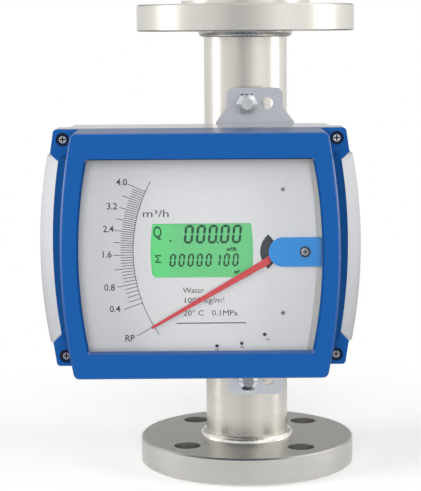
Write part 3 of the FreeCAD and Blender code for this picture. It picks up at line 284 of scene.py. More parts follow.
class FlowMeterDisplay(bpy.types.PropertyGroup):
    slant: FloatProperty(name="Slant", description="Lean of the digits", default=math.radians(6),
                         subtype="ANGLE")
    glow: FloatProperty(name="Glow", description="Strength of the light behind the display", default=0.12)


class FlowMeterStage(bpy.types.PropertyGroup):
    camera_place: FloatVectorProperty(name="Camera", description="Where the camera stands", size=3,
                                      subtype="TRANSLATION", default=(-0.022, -0.910, 0.2373))
    lens: FloatProperty(name="Lens", description="Focal length in millimetres", default=124.8)
    pitch: FloatProperty(name="Pitch", description="How far the camera looks down",
                         default=math.radians(7.384), subtype="ANGLE")
    yaw: FloatProperty(name="Yaw", description="How far the camera looks to the right",
                       default=math.radians(0.176), subtype="ANGLE")
    roll: FloatProperty(name="Roll", description="How far the camera leans", default=math.radians(-0.4),
                        subtype="ANGLE")
    fill: FloatProperty(name="Fill", description="Strength of the even light from all round", default=0.3)
    panel: FloatProperty(name="Panels", description="Brightness of the white panels left and right",
                         default=0.98)
    strip: FloatProperty(name="Strips", description="Brightness of the strip lights beside them", default=5.0)
    gap: FloatProperty(name="Gap", description="Brightness between the panels at the camera's side",
                       default=0.65)
    back: FloatProperty(name="Back", description="Brightness of the backdrop's horizon", default=0.95)


# ---- pipe ----
class FLOWMETER_OT_pipe(bpy.types.Operator):
    """Finishes the pipe, its flanges and the bosses"""
    bl_idname = "flowmeter.pipe"
    bl_label = "Finish pipe"

    def execute(self, context):
        # Stainless steel 1.4404, turned and glass-blasted: a soft warm grey sheen with faint turning rings.
        turned = finish("stainless_1_4404_turned", "#d6d3cc", "#dcd9d2", (7, 7, 0.6), (0.3, 0.36), 0.7,
                        Metallic=1.0)
        # The same steel as drawn tube, belt-ground: fine marks round it stretch the highlights upright.
        ground = finish("stainless_1_4404_belt_ground", "#d5d1c9", "#d7d4cc", (9, 9, 2.5), (0.27, 0.3), 0.05,
                        Metallic=1.0)
        # The lower flange, the same turned steel but greyer: painted shade, for the dimmer light and darker
        # reflections it gets low by the floor.
        turned_shaded = finish("stainless_1_4404_turned_shaded", "#bebcb6", "#c5c3bd", (7, 7, 0.6), (0.32, 0.4), 0.7,
                         Metallic=1.0)
        coat(turned, "outlet_flange", "upper_boss", "lower_boss")
        coat(turned_shaded, "inlet_flange")
        coat(ground, "measuring_tube")
        return {"FINISHED"}


# How far a bead reaches into the pipe and into the flange, so that no gap shows.
BEAD_IN_PIPE, BEAD_IN_FLANGE = 0.2 * MM, 0.1 * MM
# How high a bead's face bulges, as a share of its leg.
BEAD_CROWN = 0.3
# Below 1, a ripple is broad on top and pinched where it meets the next.
RIPPLE_POWER = 0.6
# Between which shares of their full size the ripples' heights and the bead's legs vary.
HEIGHT_SPREAD, LEG_SPREAD = (0.5, 1.0), (0.94, 1.0)
STEPS_PER_RIPPLE, BEAD_ARC_POINTS = 8, 7


class FLOWMETER_OT_welds(bpy.types.Operator):
    """Lays a rippled weld bead where the pipe meets each flange"""
    bl_idname = "flowmeter.welds"
    bl_label = "Lay weld beads"

    def execute(self, context):
        settings = context.scene.flow_meter_welds
        # TIG weld in stainless steel, brushed after welding: rounded ripples with a faint straw tint. Its
        # colour is lighter than the pipe's steel, a painted highlight for the bright band along the bead.
        weld = finish("stainless_tig_weld", "#dad7d0", "#e8e6e0", (1.6, 1.6, 1.2), (0.2, 0.3), 4.0,
                      Metallic=1.0)
        low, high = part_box("inlet_weld")
        self.bead("inlet_bead", "inlet_weld", weld, settings, low.z, 1, high.x - settings.leg, 3)
        low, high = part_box("outlet_weld")
        self.bead("outlet_bead", "outlet_weld", weld, settings, high.z, -1, high.x - settings.leg, 8)
        return {"FINISHED"}

    def bead(self, name, node, weld, settings, root_z, hand, wall, seed):
        """A closed ring whose section bulges from pipe wall to flange, and swells with each ripple.

        root_z is the flange's face, hand 1 where the bead stands on it and -1 where it hangs below, and wall
        the pipe's radius.
        """
        draw = random.Random(seed)
        leg, ripples = settings.leg, settings.ripples
        swell = [settings.ripple_height * draw.uniform(*HEIGHT_SPREAD) for _ in range(ripples)]
        reach = [leg * draw.uniform(*LEG_SPREAD) for _ in range(ripples)]
        count = ripples * STEPS_PER_RIPPLE
        bm = bmesh.new()
        rings = []
        for i in range(count):
            ripple, phase = i // STEPS_PER_RIPPLE, i % STEPS_PER_RIPPLE / STEPS_PER_RIPPLE
            size = reach[ripple] * (1 - phase) + reach[(ripple + 1) % ripples] * phase
            crest = swell[ripple] * math.sin(math.pi * phase) ** RIPPLE_POWER
            section = [(wall - BEAD_IN_PIPE, -BEAD_IN_FLANGE), (wall - BEAD_IN_PIPE, size)]
            for k in range(BEAD_ARC_POINTS):
                along = k / (BEAD_ARC_POINTS - 1)
                bulge = math.sin(math.pi * along) * (BEAD_CROWN * leg + crest) * math.sqrt(0.5)
                section.append((wall + size * along + bulge, size * (1 - along) + bulge))
            section.append((wall + size, -BEAD_IN_FLANGE))
            turn = 2 * math.pi * i / count
            rings.append([bm.verts.new((r * math.cos(turn), r * math.sin(turn), root_z + hand * h))
                          for r, h in section])
        for i in range(count):
            here, there = rings[i], rings[(i + 1) % count]
            for k in range(len(here)):
                m = (k + 1) % len(here)
                bm.faces.new((here[k], there[k], there[m], here[m]))
        piece = make_piece(name, bm, weld, "meter_body")
        for polygon in piece.data.polygons:
            polygon.use_smooth = True
        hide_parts(node)


# Node, head diameter and height, and outer diameter of the dark ring of painted shade round it, in
# millimetres.
SCREW_HEADS = [("cover_screws", 4.8, 1.9, 6.5), ("bridge_screw", 4.2, 1.2, 5.1), ("dial_screws", 2.1, 0.7, 0)]
# Width of the cross as a share of the head's diameter, and the place of its floor as a share of the height.
RECESS_REACH, RECESS_DEPTH = 0.6, 0.6
# Width of the cross's arms as a share of its own width.
RECESS_ARM = 2 / 9
# Thickness of the dark film of painted shade in each screw's cross.
RECESS_SHADE_FILM = 0.05 * MM
# Height of the ring of painted shade round a screw head.
COUNTERBORE_SHADE_HEIGHT = 0.5 * MM


class FLOWMETER_OT_mounting(bpy.types.Operator):
    """Finishes the mounting plate and all screws, lays painted shade in the screws' crosses, and rings of
    painted shade round the front ones
    """
    bl_idname = "flowmeter.mounting"
    bl_label = "Finish mounting"

    def execute(self, context):
        # Cold-rolled stainless sheet, bead-blasted: an even blue-grey with hardly any shine.
        sheet = finish("stainless_sheet_blasted", "#d6d8de", "#dddfe5", (0.8, 0.8, 0.8), (0.38, 0.5), 4.0,
                       Metallic=1.0)
        # Steel bolts, bright zinc plated: mirror-like with a faint blue cast.
        zinc = finish("steel_bright_zinc", "#c2c6cc", "#d4d8dd", (3, 3, 3), (0.03, 0.08), 0.5, Metallic=1.0)
        # Painted shade in a screw's cross: a matt, nearly black film that stands for the shadow in the
        # recess.
        recess_shade = finish("screw_recess_painted_shade", "#141416", "#1d1d20", (0.4, 0.4, 0.4), (0.7, 0.85), IOR=1.4)
        # Sealing washer: punched black nylon, dull, with a cast of the blue round it.
        # Painted shade: a dull dark ring round a screw head that stands for the shadowed floor of its
        # counterbore, with a painted blue cast from the cover round it.
        counterbore_shade = finish("counterbore_painted_shade", "#101a2c", "#172238", (0.5, 0.5, 0.5), (0.5, 0.65), IOR=1.53)
        self.dress_screws(recess_shade, counterbore_shade)
        coat(sheet, "mounting_plate")
        coat(zinc, "mounting_bolts", "spring_washers", "plate_screws", "retainer_screws", "chassis_screws",
             "dial_screws", "bridge_screw", "cover_screws")
        return {"FINISHED"}

    def dress_screws(self, recess_shade, counterbore_shade):
        """Lays painted shade: a dark film on the floor of each cross recess, and a dark ring round each cover
        and bridge screw for the shadow in its counterbore.
        """
        crosses, counterbore_shades = bmesh.new(), bmesh.new()
        for node, head, height, ring in SCREW_HEADS:
            low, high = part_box(node)
            top = low.y
            reach = head * MM / 2
            columns, rows = (low.x + reach, high.x - reach), (low.z + reach, high.z - reach)
            floor = top + height * RECESS_DEPTH * MM
            # A node with a single screw gives the same place four times, so each is taken once.
            for x, z in sorted(set((round(x, 6), round(z, 6)) for x in columns for z in rows)):
                u, w = (x - CENTRE_X) / MM, (z - CENTRE_Z) / MM
                self.cross(crosses, u, w, head * RECESS_REACH, floor)
                if ring:
                    add_ring(counterbore_shades, u, w, head / 2, ring / 2, top + height * MM, COUNTERBORE_SHADE_HEIGHT)
        make_piece("screw_recesses", crosses, recess_shade, "meter_body")
        make_piece("screw_counterbore_shades", counterbore_shades, counterbore_shade, "meter_body")

    def cross(self, bm, u, w, width, face):
        """A dark film in the shape of a cross on the floor of a recess: painted shade."""
        half, arm = width / 2, width / 2 * RECESS_ARM
        outline = [(-arm, -half), (arm, -half), (arm, -arm), (half, -arm), (half, arm), (arm, arm),
                   (arm, half), (-arm, half), (-arm, arm), (-half, arm), (-half, -arm), (-arm, -arm)]
        add_slab(bm, [(u + x, w + z) for x, z in outline], face, RECESS_SHADE_FILM)


PEEL_HEIGHT = 4 * MICRON
# Width of the faint clouds in the colour, and the brightness between which they move.
CLOUD, CLOUD_TINT = 25 * MM, (0.96, 1.04)


class FLOWMETER_OT_housing(bpy.types.Operator):
    """Paints the rear housing and the front cover, and colours their seals"""
    bl_idname = "flowmeter.housing"
    bl_label = "Paint housing"

    def execute(self, context):
        paint = context.scene.flow_meter_paint
        # Die-cast aluminium under a sprayed two-pack gloss enamel: smooth, with a faint orange peel.
        grey = self.enamel("enamel_light_grey", paint.housing_grey, paint.peel, 0.34, (0.3, 0.3), 0.5)
        # The cover's sides stay dull, or they would mirror the grey housing and turn lilac.
        blue = self.enamel("enamel_signal_blue", paint.cover_blue, paint.peel, 0.3, (0.0, 0.3), 0.0)
        coat(grey, "rear_housing")
        coat(blue, "front_cover")
        # Moulded EPDM rubber: black and dull, a little greyer where it has rubbed.
        rubber = finish("epdm_rubber_moulded", "#17181a", "#26272a", (2.5, 2.5, 2.5), (0.6, 0.75), 6.0,
                        IOR=1.52)
        coat(rubber, "cover_gasket", "window_seal", "gland_seal")
        return {"FINISHED"}

    def enamel(self, name, colour, peel, rough, shine, lacquer):
        """Enamel whose shine is given for its sides and its top.

        The lacquer over it gathers on rounded edges, and lies with the given weight on flat faces.
        """
        material, tree = start_material(name)
        place = add_node(tree, "ShaderNodeTexCoord")
        ripple = add_node(tree, "ShaderNodeTexNoise", {"Scale": 1 / peel, "Detail": 1.0},
                          {"Vector": place.outputs["Object"]})
        relief = add_node(tree, "ShaderNodeBump", {"Strength": 1.0, "Distance": PEEL_HEIGHT},
                          {"Height": ripple.outputs["Fac"]})
        cloud = add_node(tree, "ShaderNodeTexNoise", {"Scale": 1 / CLOUD, "Detail": 2.0},
                         {"Vector": place.outputs["Object"]})
        tint = add_node(tree, "ShaderNodeMapRange", {"To Min": CLOUD_TINT[0], "To Max": CLOUD_TINT[1]},
                        {"Value": cloud.outputs["Fac"]})
        hue = add_node(tree, "ShaderNodeHueSaturation", {"Color": (*colour, 1)},
                       {"Value": tint.outputs["Result"]})
        facing = add_node(tree, "ShaderNodeSeparateXYZ", links={"Vector": place.outputs["Normal"]})
        gloss = add_node(tree, "ShaderNodeMapRange", {"From Min": 0.5, "From Max": 0.9, "To Min": shine[0],
                                                      "To Max": shine[1]}, {"Value": facing.outputs["Z"]})
        # 0 on a face that looks to the front, 1 on one that looks sideways, up or down; edges lie between.
        turned = add_node(tree, "ShaderNodeMapRange", {"From Min": -1.0, "From Max": 0.0},
                          {"Value": facing.outputs["Y"]})
        flat, rounded = (lacquer, lacquer, lacquer, 1), (1, 1, 1, 1)
        edges = add_node(tree, "ShaderNodeValToRGB", links={"Fac": turned.outputs["Result"]},
                         stops=[(0.015, flat), (0.04, rounded), (0.7, rounded), (0.8, flat)])
        shader = add_node(tree, "ShaderNodeBsdfPrincipled",
                          {"Roughness": rough, "IOR": 1.5, "Coat Roughness": 0.08, "Coat IOR": 1.8},
                          {"Base Color": hue.outputs["Color"], "Normal": relief.outputs["Normal"],
                           "Specular IOR Level": gloss.outputs["Result"],
                           "Coat Weight": edges.outputs["Color"], "Coat Normal": relief.outputs["Normal"]})
        add_node(tree, "ShaderNodeOutputMaterial", links={"Surface": shader.outputs["BSDF"]})
        return material


GLASS_IOR = 1.5
SMEAR = 18 * MM


class FLOWMETER_OT_window(bpy.types.Operator):
    """Glazes the window and finishes the frame that holds the glass"""
    bl_idname = "flowmeter.window"
    bl_label = "Glaze window"

    def execute(self, context):
        # Toughened float glass, 3 mm: clear, with only its surface reflection to be seen.
        coat(self.glass(), "window_glass")
        # Aluminium sheet as rolled: pale, with fine lines along it.
        rolled = finish("aluminium_sheet_rolled", "#b9bbbd", "#d0d2d3", (14, 1, 0.3), (0.3, 0.45), 2.0,
                        Metallic=1.0)
        coat(rolled, "window_retainer", "chassis_plate", "lcd_frame", "damping_disc", "follower_arm")
        # Aluminium bar, turned on a lathe: bright rings.
        bar = finish("aluminium_bar_turned", "#bfc1c3", "#dadcdd", (3, 0.25, 3), (0.18, 0.3), 2.0,
                     Metallic=1.0)
        coat(bar, "chassis_posts", "balance_weight")
        return {"FINISHED"}

    def glass(self):
        """A clear pane that mirrors little when faced and more at a slant."""
        material, tree = start_material("float_glass_toughened")
        clear = add_node(tree, "ShaderNodeBsdfTransparent", {"Color": (0.996, 0.995, 0.996, 1)})
        place = add_node(tree, "ShaderNodeTexCoord")
        smear = add_node(tree, "ShaderNodeTexNoise", {"Scale": 1 / SMEAR, "Detail": 2.0},
                         {"Vector": place.outputs["Object"]})
        spread = add_node(tree, "ShaderNodeMapRange", {"To Min": 0.0, "To Max": 0.05},
                          {"Value": smear.outputs["Fac"]})
        shine = add_node(tree, "ShaderNodeBsdfAnisotropic", {"Color": (1, 1, 1, 1)},
                         {"Roughness": spread.outputs["Result"]})
        # The view runs straight through, so the pane's far side must mirror no more than its near side does.
        side = add_node(tree, "ShaderNodeNewGeometry")
        ratio = add_node(tree, "ShaderNodeMapRange", {"To Min": GLASS_IOR, "To Max": 1 / GLASS_IOR},
                         {"Value": side.outputs["Backfacing"]})
        edge = add_node(tree, "ShaderNodeFresnel", links={"IOR": ratio.outputs["Result"]})
        mixed = add_node(tree, "ShaderNodeMixShader", links={"Fac": edge.outputs["Fac"],
                                                             1: clear.outputs[0], 2: shine.outputs[0]})
        add_node(tree, "ShaderNodeOutputMaterial", links={"Surface": mixed.outputs["Shader"]})
        return material


# ---- dial ----
# Angles are in degrees above the line that points left from the pointer's axis.
# The marks open out towards low flow, and again a little at the very top.
SCALE_ZERO, SCALE_TURN, SCALE_POWER = -41.5, 61.2, 0.45
SCALE_STRETCH, SCALE_STRETCH_POWER = 4.3, 4
REST_MARK = -29.9
ARC_FROM, ARC_TO = -33.6, 28.6
ARC_STEPS = 72
# Marks up to full flow, and how many of them make one long mark.
MARKS, MARKS_PER_LONG = 50, 5
# A mark's ink lies thinner than the scale line's, so that their faces don't coincide where they cross.
MARK_FILM = 0.8 * INK_FILM

# Words, the place of their left foot from the housing's middle, capital height in millimetres and squeeze.
LEGEND = [
    ("m³/h", -28.2, 17.2, 3.7, 1.4), ("Water", -8.7, -20.2, 2.8, 1.0), ("1000 kg/m³", -8.7, -25.2, 2.8, 1.17),
    ("20° C   0.1MPa", -8.7, -31.5, 2.8, 1.13),
    ("M1", 6.9, -49.2, 1.2, 1.0), ("M2", 19.0, -48.0, 1.2, 1.0), ("M3", 31.6, -44.2, 1.2, 1.0),
]
# Left, right, foot and top of the line that stands over the bare box.
LEGEND_RULE = (-12.0, 22.1, -35.45, -34.95)
# Figures and the place of their middle.
SCALE_FIGURES = [
    ("4.0", -37.9, 34.4), ("3.2", -42.8, 22.7), ("2.4", -44.7, 11.6), ("1.6", -45.8, -0.9),
    ("0.8", -44.5, -17.2), ("0.4", -42.0, -27.8), ("RP", -35.0, -42.4),
]
# From a figure's middle down to its foot, and how it differs from the plain font.
FIGURE_DROP, FIGURE_SQUEEZE, FIGURE_BOLDER = 1.6, 0.97, 0.05


def scale_angle(flow, full_flow):
    """Angle of a flow's mark."""
    share = flow / full_flow
    return SCALE_ZERO + SCALE_TURN * share ** SCALE_POWER + SCALE_STRETCH * share ** SCALE_STRETCH_POWER


def spoke(angle, radius):
    """The point at an angle and radius in millimetres from the pointer's axis, as (u, w)."""
    turn = math.radians(angle)
    return PIVOT_U - radius * math.cos(turn), PIVOT_W + radius * math.sin(turn)


class FLOWMETER_OT_dial(bpy.types.Operator):
    """Prints the scale, its figures and the legend on the dial"""
    bl_idname = "flowmeter.dial"
    bl_label = "Print dial"

    def execute(self, context):
        settings = context.scene.flow_meter_dial
        # Aluminium dial sheet under a baked pale grey lacquer: flat and nearly matt, with a faint mottle.
        face = finish("dial_lacquer_baked", "#c6c7c9", "#cacbcd", (1.2, 1.2, 1.2), (0.42, 0.5), 1.0,
                      IOR=1.5)
        coat(face, "dial_plate")
        # Edge strip: moulded grey polystyrene, dull.
        strip = finish("polystyrene_grey_moulded", "#cccdc6", "#d2d3cc", (0.9, 0.9, 0.9), (0.5, 0.6), 2.0,
                       IOR=1.55)
        coat(strip, "dial_edge_strip")
        # Screen-printed ink: a charcoal grey with slightly uneven cover.
        ink = finish("screen_ink_grey", "#17171b", "#232328", (0.5, 0.5, 0.5), (0.5, 0.65), IOR=1.5)
        bm = bmesh.new()
        self.marks(bm, settings)
        make_piece("dial_scale", bm, ink, "meter_body")
        bm = bmesh.new()
        for words, u, w in SCALE_FIGURES:
            add_words(bm, words, u, w - FIGURE_DROP, settings.figure / MM, DIAL_FACE, FIGURE_SQUEEZE,
                      FIGURE_BOLDER, "CENTER")
        make_piece("dial_figures", bm, ink, "meter_body")
        bm = bmesh.new()
        for words, u, w, height, squeeze in LEGEND:
            add_words(bm, words, u, w, height, DIAL_FACE, squeeze)
        add_slab(bm, rectangle(*LEGEND_RULE), DIAL_FACE)
        make_piece("dial_legend", bm, ink, "meter_body")
        return {"FINISHED"}

    def marks(self, bm, settings):
        """The scale line, a mark for every step of flow from the first long one, and the rest mark."""
        radius, half = settings.arc_radius / MM, settings.line / MM / 2
        angles = [ARC_FROM + (ARC_TO - ARC_FROM) * i / ARC_STEPS for i in range(ARC_STEPS + 1)]
        outer = [spoke(angle, radius + half) for angle in angles]
        inner = [spoke(angle, radius - half) for angle in reversed(angles)]
        add_slab(bm, outer + inner, DIAL_FACE)
        full = settings.full_flow
        step = full / MARKS
        for i in range(MARKS_PER_LONG, MARKS + 1):
            length = settings.short_tick if i % MARKS_PER_LONG else settings.long_tick
            self.tick(bm, scale_angle(i * step, full), radius, length / MM, half)
        self.tick(bm, REST_MARK, radius, settings.long_tick / MM, half)

    def tick(self, bm, angle, radius, length, half):
        """One mark that stands out from the scale line, away from the pointer's axis."""
        turn = math.radians(angle)
        across = Vector((half * math.sin(turn), half * math.cos(turn)))
        near, far = Vector(spoke(angle, radius)), Vector(spoke(angle, radius + length))
        add_slab(bm, [near + across, far + across, far - across, near - across], DIAL_FACE, MARK_FILM)


# ---- display ----
# The lit segments of each figure, named a to f clockwise from the top.
SEGMENTS = {"0": "abcdef", "1": "bc"}
# Figures, left end, pitch, foot, width, height and thickness of a row of digits, in millimetres.
DIGIT_ROWS = [
    ("00000", -8.3, 5.85, 3.9, 4.5, 9.2, 1.25), ("00000100", -15.35, 4.38, -7.4, 3.0, 6.4, 0.9),
]
# Left foot of each dot, and a dot's width and height.
DOTS, DOT_SIZE = [(8.15, 3.9), (-14.9, 4.9)], (0.8, 1.0)
DISPLAY_SIGNS = [
    ("Q", -23.0, 7.0, 5.8, 0.65), ("m³/h", 12.8, 0.2, 1.9, 1.0), ("Σ", -22.4, -5.3, 3.6, 1.0),
    ("m³", 16.5, -10.8, 1.7, 1.0),
]
SIGN_BOLDER = 0.14
# Half the gap between two segments, as a share of their thickness.
SEGMENT_GAP = 0.05
CELL_MOTTLE = 7 * MM


class FLOWMETER_OT_display(bpy.types.Operator):
    """Lights the display and sets its digits"""
    bl_idname = "flowmeter.display"
    bl_label = "Light display"

    def execute(self, context):
        settings = context.scene.flow_meter_display
        # Liquid crystal glass over a green light guide: an even glow, stronger by the lamp at its left.
        coat(self.lit_glass(settings), "lcd_glass")
        # Light guide: clear acrylic with a frosted back, tinted by its green lamps.
        guide = finish("acrylic_light_guide", "#8fd39b", "#a5e0af", (4, 4, 4), (0.3, 0.4), IOR=1.49)
        coat(guide, "backlight")
        # Liquid crystal segment with its polariser: deep green-black and even.
        dark = finish("liquid_crystal_segment", "#003d22", "#034529", (6, 6, 6), (0.3, 0.34),
                      Specular_IOR_Level=0.15)
        bm = bmesh.new()
        lean = math.tan(settings.slant)
        for figures, left, pitch, foot, width, height, thick in DIGIT_ROWS:
            for i, figure in enumerate(figures):
                self.digit(bm, figure, left + pitch * i, foot, width, height, thick, lean)
        for u, w in DOTS:
            add_slab(bm, rectangle(u, u + DOT_SIZE[0], w, w + DOT_SIZE[1]), DISPLAY_FACE)
        make_piece("display_digits", bm, dark, "meter_body")
        bm = bmesh.new()
        for words, u, w, height, squeeze in DISPLAY_SIGNS:
            add_words(bm, words, u, w, height, DISPLAY_FACE, squeeze, SIGN_BOLDER)
        make_piece("display_signs", bm, dark, "meter_body")
        return {"FINISHED"}

    def lit_glass(self, settings):
        """Glass whose colour runs across it, and which glows a little by itself."""
        material, tree = start_material("liquid_crystal_glass_lit")
        low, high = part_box("lcd_glass")
        place = add_node(tree, "ShaderNodeTexCoord")
        axes = add_node(tree, "ShaderNodeSeparateXYZ", links={"Vector": place.outputs["Object"]})
        across = add_node(tree, "ShaderNodeMapRange", {"From Min": low.x, "From Max": high.x},
                          {"Value": axes.outputs["X"]})
        ramp = add_node(tree, "ShaderNodeValToRGB", links={"Fac": across.outputs["Result"]},
                        stops=[(0.05, linear("#50c26e")), (0.3, linear("#57b070"))])
        cells = add_node(tree, "ShaderNodeTexNoise", {"Scale": 1 / CELL_MOTTLE, "Detail": 1.0},
                         {"Vector": place.outputs["Object"]})
        gloss = add_node(tree, "ShaderNodeMapRange", {"To Min": 0.2, "To Max": 0.3},
                         {"Value": cells.outputs["Fac"]})
        shader = add_node(tree, "ShaderNodeBsdfPrincipled",
                          {"IOR": 1.5, "Emission Strength": settings.glow},
                          {"Base Color": ramp.outputs["Color"], "Emission Color": ramp.outputs["Color"],
                           "Roughness": gloss.outputs["Result"]})
        add_node(tree, "ShaderNodeOutputMaterial", links={"Surface": shader.outputs["BSDF"]})
        return material

    def digit(self, bm, figure, left, foot, width, height, thick, lean):
        """One seven-segment figure from slabs with pointed ends."""
        gap, half = thick * SEGMENT_GAP, thick / 2
        mid, right, top = height / 2, width - half, height - half
        ends = {
            "a": ((half, top), (right, top)), "b": ((right, mid), (right, top)),
            "c": ((right, half), (right, mid)), "d": ((half, half), (right, half)),
            "e": ((half, half), (half, mid)), "f": ((half, mid), (half, top)),
        }
        for name in SEGMENTS[figure]:
            (x0, y0), (x1, y1) = ends[name]
            if y0 == y1:
                outline = [(x0 + gap, y0), (x0 + half + gap, y0 + half), (x1 - half - gap, y0 + half),
                           (x1 - gap, y0), (x1 - half - gap, y0 - half), (x0 + half + gap, y0 - half)]
            else:
                outline = [(x0, y0 + gap), (x0 + half, y0 + half + gap), (x0 + half, y1 - half - gap),
                           (x0, y1 - gap), (x0 - half, y1 - half - gap), (x0 - half, y0 + half + gap)]
            add_slab(bm, [(left + x + lean * y, foot + y) for x, y in outline], DISPLAY_FACE)


# ---- movement, keys, entries and inner parts ----
class FLOWMETER_OT_movement(bpy.types.Operator):
    """Finishes the pointer, its bridge and the magnetic movement"""
    bl_idname = "flowmeter.movement"
    bl_label = "Finish movement"

    def execute(self, context):
        # Pointer: punched aluminium with a sprayed signal-red lacquer, silky.
        red = finish("lacquer_signal_red", "#b43038", "#bd3b41", (2, 2, 2), (0.35, 0.45), IOR=1.5)
        # Bridge: moulded blue ABS with a satin skin.
        bridge = finish("abs_blue_moulded", "#0079c4", "#0683cd", (0.9, 0.9, 0.9), (0.3, 0.42), 2.0,
                        IOR=1.53)
        # Free-cutting brass, turned: warm yellow with fine rings.
        brass = finish("brass_turned", "#b98f3e", "#d9b25c", (2, 0.25, 2), (0.16, 0.28), 2.0, Metallic=1.0)
        # Ground steel: bright grey with fine marks round it.
        steel = finish("steel_ground", "#a9abae", "#c6c8ca", (3, 3, 0.3), (0.18, 0.3), 2.0, Metallic=1.0)
        # Sintered magnet, nickel flashed: darker grey with a faint grain.
        magnet = finish("magnet_sintered", "#6e7074", "#85878b", (0.6, 0.6, 0.6), (0.3, 0.42), 3.0,
                        Metallic=1.0)
        # Bearing bracket: zinc-passivated sheet, bluish and slightly cloudy.
        bracket = finish("steel_sheet_passivated", "#9ca1a6", "#b6bbc0", (5, 5, 5), (0.28, 0.42), 2.0,
                         Metallic=1.0)
        coat(red, "pointer_needle")
        coat(bridge, "pivot_bridge")
        coat(brass, "front_bearing", "rear_bearing", "pointer_hub")
        coat(steel, "inlet_guide", "outlet_guide", "guide_rod", "rest_sleeve", "stop_sleeve", "float_body",
             "float_head", "pointer_shaft")
        coat(magnet, "float_magnet", "follower_magnet", "brake_magnet")
        coat(bracket, "bearing_bracket")
        return {"FINISHED"}


class FLOWMETER_OT_keys(bpy.types.Operator):
    """Finishes the keys and their switches"""
    bl_idname = "flowmeter.keys"
    bl_label = "Finish keys"

    def execute(self, context):
        # Key caps and switches: moulded polyamide, black with a slight sheen.
        black = finish("polyamide_black_moulded", "#141416", "#232326", (0.4, 0.4, 0.4), (0.35, 0.5), 2.0,
                       IOR=1.53)
        coat(black, "key_switches", "left_key", "middle_key", "right_key")
        return {"FINISHED"}


class FLOWMETER_OT_entries(bpy.types.Operator):
    """Finishes the cable gland and the blanking plug"""
    bl_idname = "flowmeter.entries"
    bl_label = "Finish cable entries"

    def execute(self, context):
        # Brass, nickel plated: a warm pale silver, smooth and fairly bright.
        nickel = finish("brass_nickel_plated", "#bfbaad", "#c9c4b7", (4, 0.5, 4), (0.18, 0.26), 0.6,
                        Metallic=1.0)
        coat(nickel, "gland_body", "gland_nut", "blanking_plug")
        return {"FINISHED"}


class FLOWMETER_OT_inside(bpy.types.Operator):
    """Finishes the circuit board and what stands on it"""
    bl_idname = "flowmeter.inside"
    bl_label = "Finish inner parts"

    def execute(self, context):
        # Glass-epoxy board under black solder mask: glossy slate grey, mottled by the weave below.
        board = finish("epoxy_board_masked", "#2b3538", "#353f42", (0.7, 0.7, 0.7), (0.25, 0.35), 2.0,
                       IOR=1.52)
        # Terminal block: moulded polyamide in dark green.
        terminal = finish("polyamide_green_moulded", "#1d6b3f", "#25774a", (0.5, 0.5, 0.5), (0.4, 0.5), 3.0,
                          IOR=1.53)
        # Posts: moulded nylon, milky white.
        nylon = finish("nylon_natural_moulded", "#dddbd2", "#e8e6de", (1.5, 1.5, 1.5), (0.4, 0.5), 2.0,
                       IOR=1.53)
        coat(board, "circuit_board")
        coat(terminal, "terminal_block")
        coat(nylon, "board_posts")
        return {"FINISHED"}


# ---- stage ----
# How pale the paper is as a lit surface, and how much it glows for what looks at it.
PAPER, PAPER_GLOW = 0.75, 0.3
# Distances from the middle at which the paper starts to fade and is gone, in metres.
FLOOR_FADE = (0.1, 0.3)
# Name, place, width and power of each lamp, in metres and watts. All point at LAMP_TARGET.
LAMPS = [
    ("front_light", (-0.05, -2.2, 0.5), 1.0, 36), ("right_light", (1.5, -0.9, 0.6), 0.8, 11),
    ("left_light", (-1.5, -0.9, 0.6), 0.8, 17),
]
LAMP_TARGET = Vector((0, 0, 0.12))


